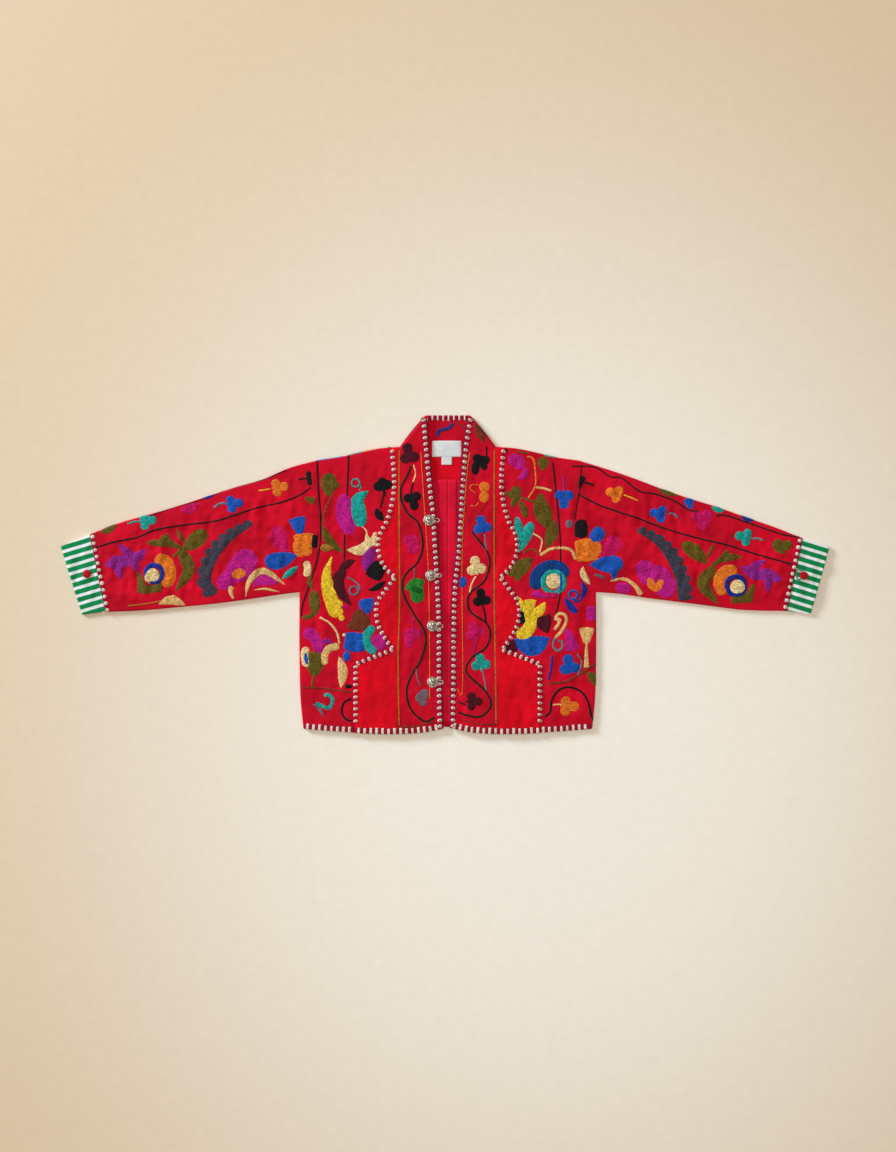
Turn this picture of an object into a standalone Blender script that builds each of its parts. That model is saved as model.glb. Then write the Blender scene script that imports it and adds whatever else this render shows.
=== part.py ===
"""A cropped, open-fronted cotton jacket with long sleeves, lying on its back on a flat surface.

The back panel and the undersides of the sleeves lie flat on the surface. The fronts and the tops of the sleeves
lie on them, a few millimetres apart, and roll down at the folded edges, so that the body and both sleeves are
flattened tubes. A plain overlay with a scalloped edge lies on each front, beside a band that runs from the hem
up to the top of the collar.

Units are metres, +Z is up, +X is the way the wearer's left sleeve points and +Y the way the collar points.
The origin is on the surface, under the middle of the jacket's box. "out" is a distance from the body's centre
line towards either sleeve, and "up" is a place along Y, from the hem towards the collar.
"""

import math

import bmesh
import bpy
from mathutils import Vector

# The body's centre line stands a little off the origin, because the right sleeve lies further out than the left.
BODY_CENTRE_X = 0.0046
RIGHT, LEFT = -1, 1
SIDE_NAMES = {RIGHT: "right", LEFT: "left"}

# Cloth walls, each with its lining where it has one.
BODY_WALL = 0.0020
OVERLAY_WALL = 0.0010
BAND_WALL = 0.0026
COLLAR_WALL = 0.0025
LINING_WALL = 0.0010
LABEL_WALL = 0.0010
SEAM_GAP = 0.0003
LAYER_GAP = 0.0003

# The folded edges, and how far the upper layer stands above the surface away from them.
FOLD_RADIUS = 0.0028
COLLAR_FOLD_RADIUS = 0.0038
COLLAR_FOLD_FROM, COLLAR_FOLD_TO = 0.205, 0.240
COLLAR_BLEND = 0.030
RISE = 0.0012
RISE_SPAN = 0.045
RELIEF_FADE = 0.030
HEM_DROP, HEM_DROP_SPAN = 0.0008, 0.045
BAND_LIFT_SPAN = 0.006
ARC_DEGREES = (0, 30, 60, 90)
FIRST_ARC_DEGREES = 3

# Half the body's width, from the hem to the underarm, and then the armhole seam up to the shoulder: (up, out).
SIDE_EDGE = (
    (-0.2763, 0.2597),
    (-0.2260, 0.2646),
    (-0.1360, 0.2668),
    (-0.0675, 0.2668),
    (-0.0315, 0.2664),
)
ARMHOLE = (
    (-0.0315, 0.2664),
    (-0.0135, 0.2502),
    (0.0171, 0.2376),
    (0.0621, 0.2313),
    (0.1341, 0.2322),
    (0.2050, 0.2358),
)
# The shoulder fold, from the neck point to the shoulder tip: (out, up).
SHOULDER = (
    (0.0864, 0.2295),
    (0.1220, 0.2268),
    (0.1580, 0.2196),
    (0.1940, 0.2110),
    (0.2358, 0.2050),
)
NECK_POINT = (0.0864, 0.2295)
COLLAR_TOP = (0.0414, 0.2850)
NECK_SEAM_ARCH = 0.0085
UNDERARM_UP, SHOULDER_TIP_UP = ARMHOLE[0][0], ARMHOLE[-1][0]

# The hems: the fronts' is (out, up), and the back's is straight.
FRONT_HEM = (
    (0.0050, -0.2740),
    (0.0200, -0.2775),
    (0.0400, -0.2815),
    (0.0660, -0.2840),
    (0.1000, -0.2850),
    (0.1500, -0.2840),
    (0.2100, -0.2800),
    (0.2597, -0.2763),
)
BACK_HEM = ((0.0, -0.2735), (0.1800, -0.2740), (0.2597, -0.2763))

# The bands' free edges, from the hem up to the collar: (up, right band's out, left band's out).
BAND_EDGE = (
    (-0.2740, 0.0096, 0.0049),
    (-0.2420, 0.0104, 0.0049),
    (-0.1944, 0.0112, 0.0058),
    (-0.0981, 0.0112, 0.0064),
    (-0.0488, 0.0128, 0.0073),
    (-0.0086, 0.0151, 0.0097),
    (0.0236, 0.0167, 0.0139),
    (0.0621, 0.0193, 0.0169),
    (0.1039, 0.0216, 0.0194),
    (0.1444, 0.0262, 0.0213),
    (0.1766, 0.0297, 0.0238),
    (0.2086, 0.0328, 0.0266),
    (0.2360, 0.0353, 0.0293),
    (0.2850, 0.0396, 0.0376),
)
BAND_SEAM_OUT = 0.0864

# The overlay's scalloped edge: (up, out). The two cusps and the corner of the lower block are sharp.
OVERLAY_BLOCK = ((-0.2850, 0.1656), (-0.1611, 0.1656))
OVERLAY_STEP = ((-0.1611, 0.1656), (-0.1350, 0.0985))
LOWER_SCALLOP = (
    (-0.1350, 0.0985),
    (-0.1118, 0.1143),
    (-0.0918, 0.1247),
    (-0.0675, 0.1287),
    (-0.0477, 0.1256),
    (-0.0275, 0.1116),
    (-0.0054, 0.0945),
)
UPPER_SCALLOP = (
    (-0.0054, 0.0945),
    (0.0108, 0.1116),
    (0.0288, 0.1215),
    (0.0531, 0.1251),
    (0.0729, 0.1215),
    (0.0972, 0.1089),
    (0.1521, 0.0968),
    (0.2295, 0.1004),
)
OVERLAY_OUTLINE = (OVERLAY_BLOCK, OVERLAY_STEP, LOWER_SCALLOP, UPPER_SCALLOP)

# The sleeves from the armhole to the cuff seam: (share of the length, upper fold's out, up, lower fold's out, up).
SLEEVE = {
    RIGHT: (
        (0.000, 0.2358, 0.2050, 0.2664, -0.0315),
        (0.125, 0.2848, 0.1917, 0.3085, -0.0369),
        (0.250, 0.3362, 0.1695, 0.3524, -0.0436),
        (0.375, 0.3868, 0.1548, 0.3956, -0.0495),
        (0.500, 0.4379, 0.1386, 0.4388, -0.0545),
        (0.625, 0.4892, 0.1215, 0.4820, -0.0585),
        (0.750, 0.5400, 0.1071, 0.5256, -0.0626),
        (0.875, 0.5911, 0.0925, 0.5692, -0.0657),
        (1.000, 0.6422, 0.0729, 0.6134, -0.0671),
    ),
    LEFT: (
        (0.000, 0.2358, 0.2050, 0.2664, -0.0315),
        (0.125, 0.2878, 0.1890, 0.3109, -0.0350),
        (0.250, 0.3377, 0.1719, 0.3532, -0.0414),
        (0.375, 0.3874, 0.1530, 0.3956, -0.0468),
        (0.500, 0.4372, 0.1359, 0.4381, -0.0522),
        (0.625, 0.4871, 0.1206, 0.4804, -0.0576),
        (0.750, 0.5368, 0.1026, 0.5229, -0.0630),
        (0.875, 0.5868, 0.0855, 0.5652, -0.0650),
        (1.000, 0.6367, 0.0657, 0.6077, -0.0655),
    ),
}
# The cuffs' mouths: upper corner's out and up, then the lower corner's.
CUFF_MOUTH = {
    RIGHT: (0.6955, 0.0513, 0.6566, -0.0729),
    LEFT: (0.6862, 0.0513, 0.6511, -0.0729),
}
CUFF_INSET = 0.0008
ARMHOLE_BOW_SPAN = 0.35

# Where each grid has its rows and columns.
BODY_ROWS_UP = (-0.262, -0.232, -0.198, -0.1611, -0.1480, -0.1350, -0.1118, -0.0918, -0.0675, -0.0477)
ARMHOLE_ROWS = (
    (-0.0275, UNDERARM_UP),
    (-0.0054, -0.0180),
    (0.0108, 0.0000),
    (0.0288, 0.0171),
    (0.0531, 0.0400),
    (0.0800, 0.0680),
    (0.1100, 0.0980),
    (0.1521, 0.1341),
    (0.1850, 0.1650),
    (0.2110, 0.1880),
)
FRONT_COLUMNS = (0.0, 0.10, 0.22, 0.35, 0.48, 0.61, 0.74, 0.87)
BACK_COLUMNS = (0.0, 0.22, 0.48, 0.74)
NECK_COLUMNS_OUT = (-0.079, -0.030, 0.030, 0.079)
OVERLAY_COLUMNS = (0.0, 0.25, 0.5, 0.75, 1.0)
BAND_COLUMNS = (0.2, 0.4, 0.6, 0.8, 0.94, 1.0)
BAND_LEAST_WIDTH = 0.002
SLEEVE_ROWS = (0, 0.03, 0.08, 0.15, 0.23, 0.31, 0.39, 0.47, 0.55, 0.63, 0.71, 0.79, 0.87, 0.94, 1)
CUFF_ROWS = (0.0, 0.5, 1.0)
COLLAR_ROWS = (0.0, 0.3, 0.65, 1.0)
COLLAR_COLUMNS = 8

# The largest soft folds of the upper layer: ridges where the height is above zero, troughs where it is below.
FOLD_COLUMNS = ("side", "from_out", "from_up", "to_out", "to_up", "half_width", "height")
FOLDS = (
    (RIGHT, 0.300, 0.185, 0.330, 0.060, 0.020, -0.0012),
    (RIGHT, 0.375, 0.160, 0.400, 0.050, 0.018, 0.0012),
    (RIGHT, 0.455, 0.130, 0.470, 0.060, 0.018, -0.0012),
    (RIGHT, 0.560, 0.100, 0.620, 0.045, 0.016, 0.0010),
    (RIGHT, 0.290, -0.010, 0.420, -0.020, 0.017, -0.0012),
    (RIGHT, 0.450, -0.035, 0.610, -0.045, 0.015, 0.0010),
    (LEFT, 0.262, 0.190, 0.275, 0.050, 0.018, -0.0012),
    (LEFT, 0.318, 0.175, 0.330, 0.040, 0.018, 0.0012),
    (LEFT, 0.360, 0.155, 0.385, 0.060, 0.018, -0.0013),
    (LEFT, 0.490, 0.110, 0.520, 0.040, 0.018, 0.0010),
    (LEFT, 0.290, -0.005, 0.420, -0.020, 0.017, -0.0012),
    (LEFT, 0.450, -0.030, 0.610, -0.045, 0.015, 0.0010),
    (RIGHT, 0.245, 0.015, 0.205, -0.110, 0.020, 0.0011),
    (LEFT, 0.245, 0.010, 0.210, -0.120, 0.020, 0.0011),
    (RIGHT, 0.205, 0.160, 0.185, 0.020, 0.022, -0.0010),
    (LEFT, 0.200, 0.165, 0.190, 0.030, 0.022, -0.0010),
)

# The neck facing and the lining, where they show between the fronts, and the labels sewn there.
FACING_UP = 0.1701
FACING_HALF_WIDTH = 0.074
LINING_HEM_UP = -0.2640
PLEAT_HALF_WIDTH = 0.015
PLEAT_HEIGHT = 0.0010
PLEAT_GROOVE = 0.0010
LABEL_CENTRE_OUT = -0.0019
LABEL_SIZE = (0.0520, 0.0280)
LABEL_TOP_UP = 0.2400
TAB_SIZE = (0.0180, 0.0140)

# The buttons: the metal ones on the right band are (out, up), and each cuff has one.
BUTTON_PLACES = ((0.0338, 0.0974), (0.0302, -0.0018), (0.0275, -0.0927), (0.0270, -0.1935))
BUTTON_PROFILE = (
    (0.0, 0.0050),
    (0.0040, 0.0046),
    (0.0075, 0.0033),
    (0.0090, 0.0024),
    (0.0100, 0.0020),
    (0.0100, 0.0012),
    (0.0085, 0.0005),
    (0.0060, 0.0),
    (0.0, 0.0),
)
CUFF_BUTTON_PLACES = {RIGHT: (0.6480, 0.0009), LEFT: (0.6395, -0.0020)}
CUFF_BUTTON_PROFILE = (
    (0.0, 0.0042),
    (0.0035, 0.0038),
    (0.0062, 0.0026),
    (0.0075, 0.0014),
    (0.0070, 0.0005),
    (0.0050, 0.0),
    (0.0, 0.0),
)
BUTTON_STEPS = 20
BUTTON_SIDES_TRIED = 8

CLOTH_ROUGHNESS = 0.85
METAL_ROUGHNESS = 0.38
COLOURS = {
    "red_cotton": (0.62, 0.008, 0.018),
    "plain_red_cotton": (0.66, 0.006, 0.014),
    "pink_lining": (0.70, 0.012, 0.045),
    "striped_cotton": (0.02, 0.32, 0.12),
    "label_tape": (0.86, 0.85, 0.82),
    "silver_metal": (0.62, 0.58, 0.52),
    "red_button": (0.48, 0.008, 0.012),
}


def smooth_step(share):
    """0 below 0, 1 above 1 and an even curve between."""
    share = min(max(share, 0.0), 1.0)
    return share * share * (3 - 2 * share)


def curve_through(table, place, column=1):
    """The value at place on a smooth curve through a table's rows, whose first column rises."""
    places = [row[0] for row in table]
    values = [row[column] for row in table]
    if place <= places[0]:
        return values[0]
    if place >= places[-1]:
        return values[-1]
    i = next(k for k in range(len(places) - 1) if place <= places[k + 1])
    slopes = [(values[k + 1] - values[k]) / (places[k + 1] - places[k]) for k in range(len(places) - 1)]
    before = slopes[max(i - 1, 0)]
    after = slopes[min(i + 1, len(slopes) - 1)]
    start, end = (before + slopes[i]) / 2, (slopes[i] + after) / 2
    width = places[i + 1] - places[i]
    t = (place - places[i]) / width
    return (
        (2 * t**3 - 3 * t**2 + 1) * values[i]
        + (t**3 - 2 * t**2 + t) * width * start
        + (3 * t**2 - 2 * t**3) * values[i + 1]
        + (t**3 - t**2) * width * end
    )


def line_through(stations, place):
    """The value at place on straight lines between (place, value) pairs in rising order."""
    for (place_a, value_a), (place_b, value_b) in zip(stations, stations[1:]):
        if place <= place_b:
            share = (place - place_a) / (place_b - place_a)
            return value_a + (value_b - value_a) * share
    return stations[-1][1]


def world_x(side, out):
    """X of a place that lies out from the body's centre line on one side."""
    return BODY_CENTRE_X + side * out


# The armhole is cut along straight stretches between the rows, so that the panels and the sleeve match.
ARMHOLE_LINE = [(up, curve_through(ARMHOLE, up)) for _, up in ARMHOLE_ROWS] + [ARMHOLE[-1]]


def side_out(up):
    """Half the body's width at a height: the side fold below the underarm and the armhole above it."""
    if up <= UNDERARM_UP:
        return curve_through(SIDE_EDGE, up)
    return line_through(ARMHOLE_LINE, up)


def overlay_out(up):
    """How far out the overlay's scalloped edge is at a height."""
    for stretch in OVERLAY_OUTLINE:
        if up <= stretch[-1][0] + 1e-6:
            return curve_through(stretch, up)
    return OVERLAY_OUTLINE[-1][-1][1]


# A step across the collar's sloping fold is this much longer when it is measured along X.
SLOPE_WIDENING = math.hypot(NECK_POINT[0] - COLLAR_TOP[0], COLLAR_TOP[1] - NECK_POINT[1]) / (
    COLLAR_TOP[1] - NECK_POINT[1]
)


def slope_out(up):
    """How far out the collar's sloping fold is at a height."""
    share = (up - NECK_POINT[1]) / (COLLAR_TOP[1] - NECK_POINT[1])
    return NECK_POINT[0] + (COLLAR_TOP[0] - NECK_POINT[0]) * share


def fold_lines(side):
    """The two folded edges on one side, as points in the plan: the upper one and the lower one."""
    upper = [COLLAR_TOP, *SHOULDER] + [row[1:3] for row in SLEEVE[side][1:]] + [CUFF_MOUTH[side][:2]]
    lower = [(out, up) for up, out in SIDE_EDGE] + [row[3:5] for row in SLEEVE[side][1:]] + [CUFF_MOUTH[side][2:]]
    return [[Vector((world_x(side, out), up)) for out, up in line] for line in (upper, lower)]


FOLD_LINES = {side: fold_lines(side) for side in (RIGHT, LEFT)}


def nearest_on_stretch(point, start, end):
    """The place on a straight stretch that lies nearest to a point."""
    along = end - start
    share = min(max((point - start).dot(along) / along.length_squared, 0.0), 1.0)
    return start + along * share


def nearest_fold(x, y):
    """The place on the folded edges that lies nearest to a place in the plan."""
    point = Vector((x, y))
    side = RIGHT if x < BODY_CENTRE_X else LEFT
    places = [
        nearest_on_stretch(point, start, end)
        for line in FOLD_LINES[side]
        for start, end in zip(line, line[1:])
    ]
    return min(places, key=lambda place: (place - point).length)


def fold_radius(y):
    """The folded edges' radius, larger where the collar stands."""
    share = smooth_step((y - COLLAR_FOLD_FROM) / (COLLAR_FOLD_TO - COLLAR_FOLD_FROM))
    return FOLD_RADIUS + (COLLAR_FOLD_RADIUS - FOLD_RADIUS) * share


def relief(x, y):
    """The soft folds' height at a place in the plan."""
    point = Vector((x, y))
    total = 0.0
    for row in FOLDS:
        fold = dict(zip(FOLD_COLUMNS, row))
        start = Vector((world_x(fold["side"], fold["from_out"]), fold["from_up"]))
        end = Vector((world_x(fold["side"], fold["to_out"]), fold["to_up"]))
        away = (nearest_on_stretch(point, start, end) - point).length / fold["half_width"]
        total += fold["height"] * math.exp(-away * away)
    return total


def top_height(x, y):
    """Height of the upper layer's outer surface above the surface that the jacket lies on."""
    fold = nearest_fold(x, y)
    distance = (fold - Vector((x, y))).length
    beside = fold_radius(fold.y)
    radius = beside + (fold_radius(y) - beside) * smooth_step((distance - beside) / COLLAR_BLEND)
    if distance < radius:
        return radius + math.sqrt(radius**2 - (radius - distance) ** 2)
    short = 1 - min((distance - radius) / RISE_SPAN, 1.0)
    out = abs(x - BODY_CENTRE_X)
    hem_share = 1 - smooth_step((y - FRONT_HEM[4][1]) / HEM_DROP_SPAN)
    hem_drop = HEM_DROP * hem_share * (1 if out < SIDE_EDGE[0][1] else 0)
    folds = relief(x, y) * smooth_step(distance / RELIEF_FADE)
    rise = RISE * (1 - smooth_step((y - COLLAR_FOLD_FROM) / (COLLAR_FOLD_TO - COLLAR_FOLD_FROM)))
    return 2 * radius + rise * (1 - short * short) + folds - hem_drop


def arc_points(radius, wall, above):
    """(outer inset, outer height, inner inset, inner height) round a folded edge, from the seam inwards."""
    sign = 1 if above else -1
    found = []
    for degrees in ARC_DEGREES:
        angle = math.radians(max(degrees, FIRST_ARC_DEGREES))
        cos, sin = math.cos(angle), math.sin(angle)
        inside = radius - wall
        found.append((radius - radius * cos, radius + sign * radius * sin,
                      radius - inside * cos, radius + sign * inside * sin))
    return found


def material(name):
    """One plain material for each kind of cloth or button, made once."""
    if name in bpy.data.materials:
        return bpy.data.materials[name]
    made = bpy.data.materials.new(name)
    made.use_nodes = True
    shader = made.node_tree.nodes["Principled BSDF"]
    shader.inputs["Base Color"].default_value = (*COLOURS[name], 1)
    metal = name == "silver_metal"
    shader.inputs["Metallic"].default_value = 1.0 if metal else 0.0
    shader.inputs["Roughness"].default_value = METAL_ROUGHNESS if metal else CLOTH_ROUGHNESS
    return made


def add_object(name, mesh, material_name):
    """Puts a finished mesh into the jacket's collection under its node's name."""
    mesh.materials.append(material(material_name))
    mesh.shade_smooth()
    mesh.set_sharp_from_angle(angle=math.radians(50))
    made = bpy.data.objects.new(name, mesh)
    bpy.data.collections["jacket"].objects.link(made)
    return made


def loft_wall(name, outer, inner, material_name, ring=False):
    """A cloth wall between two skins, each a list of rows of points; a ring's rows close on themselves."""
    rows, columns = len(outer), len(outer[0])
    shape = bmesh.new()
    skins = [[[shape.verts.new(point) for point in row] for row in skin] for skin in (outer, inner)]
    spans = columns if ring else columns - 1
    for skin in skins:
        for i in range(rows - 1):
            for j in range(spans):
                k = (j + 1) % columns
                shape.faces.new((skin[i][j], skin[i][k], skin[i + 1][k], skin[i + 1][j]))
    for i in (0, rows - 1):
        for j in range(spans):
            k = (j + 1) % columns
            shape.faces.new((skins[0][i][j], skins[0][i][k], skins[1][i][k], skins[1][i][j]))
    for j in () if ring else (0, columns - 1):
        for i in range(rows - 1):
            shape.faces.new((skins[0][i][j], skins[0][i + 1][j], skins[1][i + 1][j], skins[1][i][j]))
    bmesh.ops.recalc_face_normals(shape, faces=shape.faces)
    mesh = bpy.data.meshes.new(name)
    shape.to_mesh(mesh)
    shape.free()
    return add_object(name, mesh, material_name)


def body_row_heights():
    """(height at the band seam, height at the side) of each row of a body panel, below the shoulder's arc."""
    lower = [(FRONT_HEM[3][1], SIDE_EDGE[0][0])] + [(up, up) for up in BODY_ROWS_UP]
    return lower + list(ARMHOLE_ROWS)


def panel_point(out, seam_up, side_up, hem=None):
    """Up at a place on a row that runs from the band seam to the side, or along a hem."""
    if hem:
        return curve_through(hem, out)
    share = (out - BAND_SEAM_OUT) / (side_out(side_up) - BAND_SEAM_OUT)
    return seam_up + (side_up - seam_up) * share


def side_columns(first_out, side_up, radius, wall, columns, folded):
    """(outer out, inner out, arc) of one row's columns, from the inner edge to the side."""
    edge = side_out(side_up)
    arcs = arc_points(radius, wall, True)
    end = edge - arcs[-1][0]
    flat = [(first_out + (end - first_out) * share, None) for share in columns]
    found = [(out, out, None) for out, _ in flat]
    for k in reversed(range(len(arcs))):
        if folded:
            found.append((edge - arcs[k][0], edge - arcs[k][2], k))
        else:
            plain = edge - arcs[k][0]
            found.append((plain, plain, None))
    return found


def front_panel(side):
    """A front from the band seam to the side and the armhole, and from the hem to the shoulder fold."""
    outer, inner = [], []
    arcs = arc_points(FOLD_RADIUS, BODY_WALL, True)
    rows = body_row_heights()
    for index, (seam_up, side_up) in enumerate(rows):
        folded = side_up <= UNDERARM_UP
        cells = side_columns(BAND_SEAM_OUT + SEAM_GAP, side_up, FOLD_RADIUS, BODY_WALL, FRONT_COLUMNS, folded)
        outer_row, inner_row = [], []
        for out_outer, out_inner, arc in cells:
            up = panel_point(out_outer, seam_up, side_up, FRONT_HEM if index == 0 else None)
            height = top_height(world_x(side, out_outer), up)
            low = height - BODY_WALL
            if arc is not None:
                height, low = arcs[arc][1], arcs[arc][3]
            outer_row.append((world_x(side, out_outer), up, height))
            inner_row.append((world_x(side, out_inner), up, low))
        outer.append(outer_row)
        inner.append(inner_row)
    add_shoulder_rows(side, outer, inner, shoulder_outs(BAND_SEAM_OUT + SEAM_GAP, FRONT_COLUMNS))
    return loft_wall(f"front_{SIDE_NAMES[side]}", outer, inner, "red_cotton")


def shoulder_outs(first_out, columns):
    """The columns' places along the shoulder, from the neck point to the armhole."""
    cells = side_columns(first_out, SHOULDER_TIP_UP, FOLD_RADIUS, BODY_WALL, columns, False)
    return [cell[0] for cell in cells]


def shoulder_up(out):
    return curve_through(SHOULDER, out)


def add_shoulder_rows(side, outer, inner, outs):
    """Adds the rows of a front that roll round the shoulder fold, from the flat cloth to the seam."""
    for k in reversed(range(len(ARC_DEGREES))):
        outer_row, inner_row = [], []
        for out in outs:
            edge = shoulder_up(out)
            arc = arc_points(fold_radius(edge), BODY_WALL, True)[k]
            outer_row.append((world_x(side, out), edge - arc[0], arc[1]))
            inner_row.append((world_x(side, out), edge - arc[2], arc[3]))
        outer.append(outer_row)
        inner.append(inner_row)


def raised(x, y, lift):
    """A point of the upper layer's surface, moved out along its normal."""
    step = 0.0005
    height = top_height(x, y)
    slope_x = (top_height(x + step, y) - top_height(x - step, y)) / (2 * step)
    slope_y = (top_height(x, y + step) - top_height(x, y - step)) / (2 * step)
    normal = Vector((-slope_x, -slope_y, 1)).normalized()
    return Vector((x, y, height)) + normal * lift


def overlay(side):
    """The plain panel on a front, from the band seam out to its scalloped edge, and up to the shoulder's arc."""
    outer, inner = [], []
    rows = body_row_heights()
    seam = BAND_SEAM_OUT + SEAM_GAP
    shoulder_arc = arc_points(fold_radius(NECK_POINT[1]), BODY_WALL, True)
    heights = [row[0] for row in rows] + [NECK_POINT[1] - shoulder_arc[k][0] for k in (3, 2)]
    sides = [row[1] for row in rows] + [None, None]
    for index, (seam_up, side_up) in enumerate(zip(heights, sides)):
        edge = overlay_out(seam_up)
        outer_row, inner_row = [], []
        for share in OVERLAY_COLUMNS:
            out = seam + (edge - seam) * share
            if side_up is None:
                up = shoulder_up(out) - (NECK_POINT[1] - seam_up)
            else:
                up = panel_point(out, seam_up, side_up, FRONT_HEM if index == 0 else None)
            x = world_x(side, out)
            outer_row.append(raised(x, up, LAYER_GAP + OVERLAY_WALL))
            inner_row.append(raised(x, up, LAYER_GAP))
        outer.append(outer_row)
        inner.append(inner_row)
    return loft_wall(f"overlay_{SIDE_NAMES[side]}", outer, inner, "plain_red_cotton")


def band_edge_out(side, up):
    return curve_through(BAND_EDGE, up, column=1 if side == RIGHT else 2)


def band_wall(x, y):
    """(outer point, inner point) of the band's wall at a place in the plan, rolled over at the collar's fold."""
    place = Vector((x, y))
    fold = nearest_fold(x, y)
    distance = (fold - place).length
    lift = (LAYER_GAP + OVERLAY_WALL) * smooth_step(distance / BAND_LIFT_SPAN)
    high = top_height(x, y) + lift
    radius = fold_radius(fold.y)
    if distance >= radius:
        return (x, y, high), (x, y, high - BAND_WALL)
    cos = (radius - distance) / radius
    sin = math.sqrt(1 - cos * cos)
    inwards = (place - fold).normalized() * BAND_WALL * cos
    return (x, y, high), (x + inwards.x, y + inwards.y, high - BAND_WALL * sin)


def band(side):
    """The band from the hem up to the collar's top, between its free edge and the overlay or the sloping fold."""
    neck_insets = [arc[0] for arc in arc_points(fold_radius(NECK_POINT[1]), BAND_WALL, True)]
    heights = [row[0] for row in body_row_heights()]
    heights += [NECK_POINT[1] - inset for inset in reversed(neck_insets[1:])]
    heights += [NECK_POINT[1] + (COLLAR_TOP[1] - NECK_POINT[1]) * share for share in COLLAR_ROWS]
    outer, inner = [], []
    for index, height in enumerate(heights):
        first, widen = BAND_SEAM_OUT, 1.0
        if height >= NECK_POINT[1]:
            first, widen = slope_out(height), SLOPE_WIDENING
        insets = [arc[0] * widen for arc in arc_points(fold_radius(height), BAND_WALL, True)]
        room = first - insets[-1]
        last = min(band_edge_out(side, height), room - BAND_LEAST_WIDTH)
        outs = [first - inset for inset in insets] + [room + (last - room) * share for share in BAND_COLUMNS]
        outer_row, inner_row = [], []
        for out in outs:
            up = curve_through(FRONT_HEM, out) if index == 0 else height
            high, low = band_wall(world_x(side, out), up)
            outer_row.append(high)
            inner_row.append(low)
        outer.append(outer_row)
        inner.append(inner_row)
    return loft_wall(f"band_{SIDE_NAMES[side]}", outer, inner, "red_cotton")


def neck_seam_up(out):
    """The seam between the back and the collar, which arches a little."""
    return NECK_POINT[1] + NECK_SEAM_ARCH * (1 - (out / NECK_POINT[0]) ** 2)


def back_panel():
    """The whole back, flat on the surface, rolled up at the sides and at the shoulder folds."""
    outer, inner = [], []
    arcs = arc_points(FOLD_RADIUS, BODY_WALL, False)
    rows = body_row_heights()
    for index, (seam_up, side_up) in enumerate(rows):
        folded = side_up <= UNDERARM_UP
        half = side_columns(BAND_SEAM_OUT, side_up, FOLD_RADIUS, BODY_WALL, BACK_COLUMNS, folded)
        outer_half, inner_half = [], []
        for out_outer, out_inner, arc in half:
            up = panel_point(out_outer, seam_up, side_up, BACK_HEM if index == 0 else None)
            high, low = (BODY_WALL, 0.0) if arc is None else (arcs[arc][3], arcs[arc][1])
            outer_half.append((out_outer, up, low))
            inner_half.append((out_inner, up, high))
        add_both_sides(outer, inner, outer_half, inner_half, seam_up if index else BACK_HEM[0][1])
    outs = shoulder_outs(BAND_SEAM_OUT, BACK_COLUMNS)
    for k in reversed(range(len(ARC_DEGREES))):
        outer_half, inner_half = [], []
        for out in outs:
            edge = shoulder_up(out)
            arc = arc_points(fold_radius(edge), BODY_WALL, False)[k]
            outer_half.append((out, edge - arc[0], arc[1]))
            inner_half.append((out, edge - arc[2], arc[3]))
        add_both_sides(outer, inner, outer_half, inner_half, None, arc_points(
            fold_radius(NECK_POINT[1]), BODY_WALL, False)[k][0])
    return loft_wall("back", outer, inner, "red_cotton")


def add_both_sides(outer, inner, outer_half, inner_half, middle_up, neck_inset=0.0):
    """Adds one row of the back: both halves, and the middle between the band seams."""
    middle_outer, middle_inner = [], []
    for out in NECK_COLUMNS_OUT:
        up = neck_seam_up(out) - SEAM_GAP - neck_inset if middle_up is None else middle_up
        middle_outer.append((BODY_CENTRE_X + out, up, 0.0))
        middle_inner.append((BODY_CENTRE_X + out, up, BODY_WALL))
    for skin, half, middle in ((outer, outer_half, middle_outer), (inner, inner_half, middle_inner)):
        right = [(world_x(RIGHT, out), up, height) for out, up, height in reversed(half)]
        left = [(world_x(LEFT, out), up, height) for out, up, height in half]
        skin.append(right + middle + left)


def collar():
    """The back of the collar, flat behind the neck and rolled up into the bands at its sloping folds."""
    outer, inner = [], []
    for share in COLLAR_ROWS:
        height = NECK_POINT[1] + (COLLAR_TOP[1] - NECK_POINT[1]) * share
        arcs = arc_points(fold_radius(height), COLLAR_WALL, False)
        edge = slope_out(height)
        half = [(edge - a[0] * SLOPE_WIDENING, edge - a[2] * SLOPE_WIDENING, a[1], a[3]) for a in arcs]
        room = half[-1][0]
        flat = [room * (1 - 2 * k / COLLAR_COLUMNS) for k in range(1, COLLAR_COLUMNS)]
        cells = [(-a, -b, low, high) for a, b, low, high in half]
        cells += [(-out, -out, 0.0, COLLAR_WALL) for out in flat]
        cells += [(a, b, low, high) for a, b, low, high in reversed(half)]
        outer_row, inner_row = [], []
        for out_outer, out_inner, low, high in cells:
            arch = (1 - share) * (neck_seam_up(min(abs(out_outer), NECK_POINT[0])) - NECK_POINT[1])
            up = height + arch + (SEAM_GAP if share == 0 else 0)
            outer_row.append((BODY_CENTRE_X + out_outer, up, low))
            inner_row.append((BODY_CENTRE_X + out_inner, up, high))
        outer.append(outer_row)
        inner.append(inner_row)
    return loft_wall("collar", outer, inner, "red_cotton")


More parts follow.
